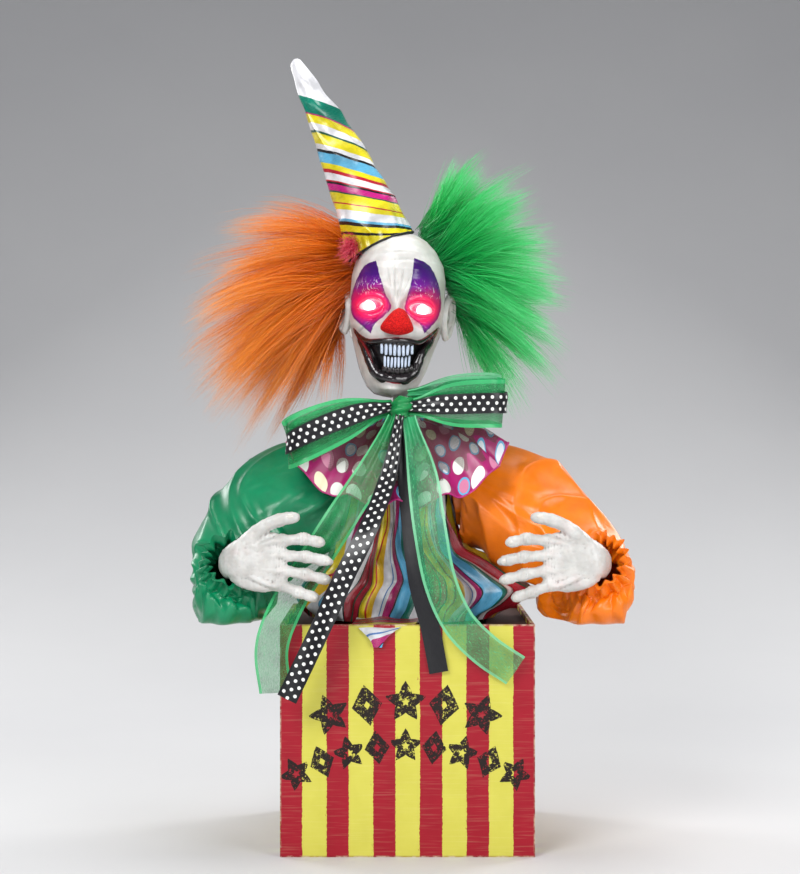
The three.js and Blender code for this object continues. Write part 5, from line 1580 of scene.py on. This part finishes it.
def tuft(name, node, slot, side, paint, seed, angles, sizes, droops, count, rim):
    """One tuft of hair: angles, sizes and droops are tables over how far round the tuft each lock points."""
    draw = np.random.default_rng(seed)
    locks = 120

    def root_at(m):
        u, v = draw.uniform(-1, 1, (2, m * 3))
        keep = (u**2 + v**2 < 1)
        u, v = u[keep][:m], v[keep][:m]
        (x0, z0), (wide, tall), lean = rim
        y = 4 + u * wide
        z = z0 + v * tall
        x = x0 + side * (3 * (1 - v**2) - 0.5 * np.abs(u) * 4) + lean * v
        return np.stack([x, y, z], 1), u, v

    lock_root, u, v = root_at(locks)
    turn = np.interp(np.clip(v + draw.normal(0, 0.30, locks), -1, 1), [-1, 1], angles) + draw.normal(0, 10,
                                                                                                     locks)
    rad = np.radians(turn)
    way = np.stack([np.cos(rad), u * 0.55 + draw.normal(0, 0.25, locks), np.sin(rad)], 1)
    lock_way = unit(way)
    lock_of = draw.integers(0, locks, count)
    spread = draw.normal(size=(count, 3)) * [2.0, 4.6, 4.6]
    roots = lock_root[lock_of] + spread
    ways = unit(lock_way[lock_of] + draw.normal(size=(count, 3)) * 0.16)
    at = np.degrees(np.arctan2(lock_way[lock_of][:, 2], lock_way[lock_of][:, 0])) % 360
    order = np.argsort(sizes[0])
    size = np.interp(at, np.array(sizes[0])[order], np.array(sizes[1])[order])
    drop = np.interp(at, np.array(sizes[0])[order], np.array(droops)[order])
    lock_size = draw.uniform(0.78, 1.06, locks)[lock_of]
    lengths = size * lock_size * draw.uniform(0.5, 1.0, count) ** 0.6
    droop = drop * (lengths / size) ** 2 * draw.uniform(0.8, 1.2, locks)[lock_of]
    made = strands(name, roots, ways, lengths, droop, (lock_root, lock_way, lock_of), paint, "head", seed + 1)
    placed(made, slot, node)
    return made


def make_hair():
    orange = hair_paint("orange_fur", (0.66, 0.09, 0.0), (1.0, 0.22, 0.0), (1.0, 0.36, 0.03))
    green = hair_paint("green_fur", (0.0, 0.26, 0.05), (0.0, 0.62, 0.10), (0.12, 0.92, 0.30))
    count = 11000
    tuft("orange_hair_tuft", "orange_hair", "orange_fur", -1, orange, 61, (244, 158),
         ((90, 120, 150, 180, 205, 236, 262), (62, 90, 142, 164, 142, 104, 78)), (8, 18, 40, 58, 50, 26, 12),
         count, ((-45.0, 468.0), (24, 38), 16.0))
    tuft("green_hair_tuft", "green_hair", "green_fur", 1, green, 71, (-62, 64),
         ((0, 30, 60, 95, 265, 290, 320, 345, 360), (108, 116, 98, 78, 60, 96, 112, 108, 108)),
         (16, 14, 8, 2, 6, 10, 16, 16, 16), count, ((31.0, 474.0), (24, 38), -19.0))
    # A small tuft of red fur at the hat's foot
    draw = np.random.default_rng(81)
    m = 1500
    a = draw.uniform(0, 2 * PI, m)
    red = hair_paint("red_fur", (0.40, 0.006, 0.03), (0.80, 0.03, 0.09), (0.95, 0.16, 0.22))
    roots = np.stack([-45 + 6 * np.cos(a) * draw.uniform(0, 1, m), -33 + 15 * np.sin(a), 494
                      + draw.normal(0, 3.6, m)], 1)
    ways = unit(np.stack([-0.5 + draw.normal(0, 0.5, m), -0.6 + draw.normal(0, 0.4, m), 0.1
                          + draw.normal(0, 0.6, m)], 1))
    draw.integers(0, 40, m)  # keeps the later draws as they are
    patch = strands("red_fur_patch", roots, ways, draw.uniform(7, 13, m), np.full(m, 3.0),
                    (roots, ways, np.arange(m)), red, "head", 82, steps=4, wide=0.4, curl=1.0)


# ---- The works inside the box, and what shows at its back ----
def plastic_paint(name, colour, rough=0.45, grain=0.05):
    paint = Paint(name, colour, rough)
    place = paint.where()
    tone = paint.noise(place, 16, 4)
    paint.set("Base Color", paint.mix(tone, dim(colour, 0.75),
                                      tuple(min(1, 1.2 * c + 0.004) for c in colour)))
    paint.roughened(paint.noise(place, 5, 4), rough - 0.07, rough + 0.1)
    paint.bump((paint.noise(place, 0.7, 2), grain), (paint.noise(place, 30, 2), 0.1))
    return paint


def metal_paint(name, colour, rough=0.3, brushed=(1, 1, 0.08)):
    paint = Paint(name, colour, rough, Metallic=1.0)
    place = paint.where()
    lines = paint.noise(paint.scaled(place, brushed), 0.6, 2)
    stain_and_tooth_shade = paint.noise(place, 14, 5)
    paint.set("Base Color", paint.mix(stain_and_tooth_shade, dim(colour, 0.7), colour))
    paint.roughened(lines, rough - 0.08, rough + 0.14)
    paint.bump((lines, 0.015))
    return paint


def board_paint():
    paint = Paint("circuit_board", (0.005, 0.10, 0.03), 0.3, Coat_Weight=0.4)
    place = paint.where()
    x = paint.xyz(place)[0]
    lanes = paint.math("PINGPONG", paint.add(paint.add(x, paint.times(paint.noise(place, 12, 0), 6 * MM)),
                                             1.0), 1.1 * MM)
    lanes = paint.times(paint.band(lanes, 0.30 * MM, 0.22 * MM),
                        paint.band(paint.noise(place, 8, 1), 0.48, 0.52))
    pads = paint.node("TexVoronoi", {"Vector": place, "Scale": 1000 / 4.2, "Randomness": 0.4}, out="Distance")
    copper = paint.mix(lanes, (0.004, 0.085, 0.025), (0.010, 0.20, 0.05))
    paint.set("Base Color", paint.mix(paint.band(pads, 0.16, 0.13), copper, (0.62, 0.60, 0.55)))
    paint.bump((lanes, 0.05))
    return paint


def cell_paint():
    """A battery: a plain wrapped sleeve in two colours, with bare metal ends."""
    paint = Paint("battery_cells", (0.02, 0.02, 0.02), 0.3)
    x = paint.xyz(paint.where())[0]
    far = paint.size(x)
    ends = paint.band(far, 24.2 * MM, 24.5 * MM)
    band = paint.math("GREATER_THAN", x, 11 * MM)
    scuffs = paint.noise(paint.where(), 5, 4)
    wrap = paint.mix(band, (0.015, 0.015, 0.018), (0.70, 0.34, 0.04))
    wrap = paint.mix(paint.times(paint.band(scuffs, 0.6, 0.7), 0.2), wrap, (0.5, 0.5, 0.5))
    paint.set("Base Color", paint.mix(ends, wrap, (0.72, 0.72, 0.70)))
    paint.set("Metallic", ends)
    paint.bump((band, 0.05))
    return paint


def wire_paint():
    paint = Paint("lead_insulation", (0.45, 0.01, 0.01), 0.45)
    place = paint.where()
    paint.set("Base Color", paint.mix(paint.noise(place, 9, 3), (0.28, 0.006, 0.008), (0.52, 0.02, 0.02)))
    paint.bump((paint.noise(place, 1.5, 2), 0.05))
    return paint


def screws(name, places, facing, body, radius=2.6):
    """Small domed cross-head screws. facing is the way that they are seen from."""
    facing = unit(np.array(facing, float))
    side = unit(np.cross(facing, [0.3, 0.2, 1.0]))
    up = np.cross(facing, side)
    parts = []
    a = np.linspace(0, 2 * PI, 40, endpoint=False)
    for place in places:
        rings = []
        for r, lift in [(1.0, -0.3), (1.0, 0.25), (0.92, 0.55), (0.72, 0.85), (0.5, 0.98), (0.3, 1.0),
                        (0.06, 1.0)]:
            cross = np.maximum(np.abs(np.cos(2 * a)), 0) ** 6
            sink = 0.9 * cross * (r < 0.6) * (r > 0.04) + 0.9 * (r < 0.2)
            ring = (np.array(place, float) + radius * r * (side * np.cos(a)[:, None]
                                                           + up * np.sin(a)[:, None])
                    + facing * (lift - sink)[:, None])
            rings.append(ring)
        parts.append((np.array(rings), True, True))
    made = merged(name, parts, PAINTS["steel"], body)
    return made


def make_spring(paint):
    """The coil under the lift. It stands on the box's chassis."""
    lo, hi = box_mm("lift_spring")
    wire = 1.0
    middle, radius = (lo + hi) / 2, (hi[0] - lo[0]) / 2 - wire
    turns, n = 9.0, 620
    t = np.linspace(0, 1, n)
    # The end coils lie flat
    rise = np.interp(t, [0, 1 / turns, 1 - 1 / turns, 1], [0, 0.035, 0.965, 1])
    a = t * turns * 2 * PI
    path = np.stack([middle[0] + radius * np.cos(a), middle[1] + radius * np.sin(a),
                     lo[2] + wire + rise * (hi[2] - lo[2] - 2 * wire)], 1)
    made = tube_mesh("coil_spring", path, np.full(n, wire), 10, paint)
    placed(made, "steel", "lift_spring")
    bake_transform(made)


def make_works():
    PAINTS["steel"] = metal_paint("steel", (0.56, 0.57, 0.58))
    black = plastic_paint("black_plastic", (0.018, 0.018, 0.02))
    white = plastic_paint("white_plastic", (0.62, 0.61, 0.57), 0.4)
    rubber = plastic_paint("black_rubber", (0.012, 0.012, 0.012), 0.7, 0.12)
    steel, board, cell, wire = PAINTS["steel"], board_paint(), cell_paint(), wire_paint()
    named = {
        "printed_card": None, "inner_card": None, "black_plastic": black, "white_plastic": white,
        "steel": steel, "circuit_board": board, "battery_label": cell, "black_rubber": rubber,
    }
    round_nodes = ("lift_spring", "guide_rod", "battery_lead", "motor_lead", "output_gear", "idler_gear",
                   "motor_pinion")
    for node, made in sorted(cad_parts.items()):
        paint = named.get(made.material_slots[0].material.name.split(".")[0])
        if paint is not None and not made.hide_render:
            dress(node, wire if node.endswith("_lead") else paint, 0 if node in round_nodes else 0.35)
    make_spring(steel)
    # Screws at the corners of what is fastened on
    lo, hi = box_mm("front_frame")
    screws("frame_screws", [(x, lo[1], z) for x in (lo[0] + 6, hi[0] - 6) for z in (lo[2] + 6, hi[2] - 6)],
           (0, -1, 0), "box")
    lo, hi = box_mm("chassis_base")
    screws("chassis_screws", [(x, y, hi[2]) for x in (lo[0] + 6, hi[0] - 6) for y in (lo[1] + 6, hi[1] - 6)],
           (0, 0, 1), "box")
    lo, hi = box_mm("battery_door")
    screws("door_screw", [(0, hi[1] - 0.6, hi[2] - 5.5)], (0, 1, 0), "battery_door", 2.8)
    ribs = []
    for k in range(6):
        z = lo[2] + 12 + 3.4 * k
        x = np.linspace(-11, 11, 24)
        path = np.stack([x, np.full(24, hi[1] - 0.25), np.full(24, z)], 1)
        ribs.append((tube(path, np.full(24, 0.6), 10, (0, 0, 1)), True, True))
    made = merged("door_grip_ribs", ribs, black, "battery_door")
    lo, hi = box_mm("switch_knob")
    ribs = []
    for x in np.linspace(lo[0] + 0.9, hi[0] - 0.9, 4):
        z = np.linspace(lo[2] + 0.5, hi[2] - 0.5, 12)
        path = np.stack([np.full(12, x), np.full(12, hi[1] - 0.15), z], 1)
        ribs.append((tube(path, np.full(12, 0.28), 8, (1, 0, 0)), True, True))
    made = merged("switch_knob_ribs", ribs, white, "switch_knob")


make_stage()
make_box()
make_cloth()
make_head()
make_hands()
make_hair()
make_works()
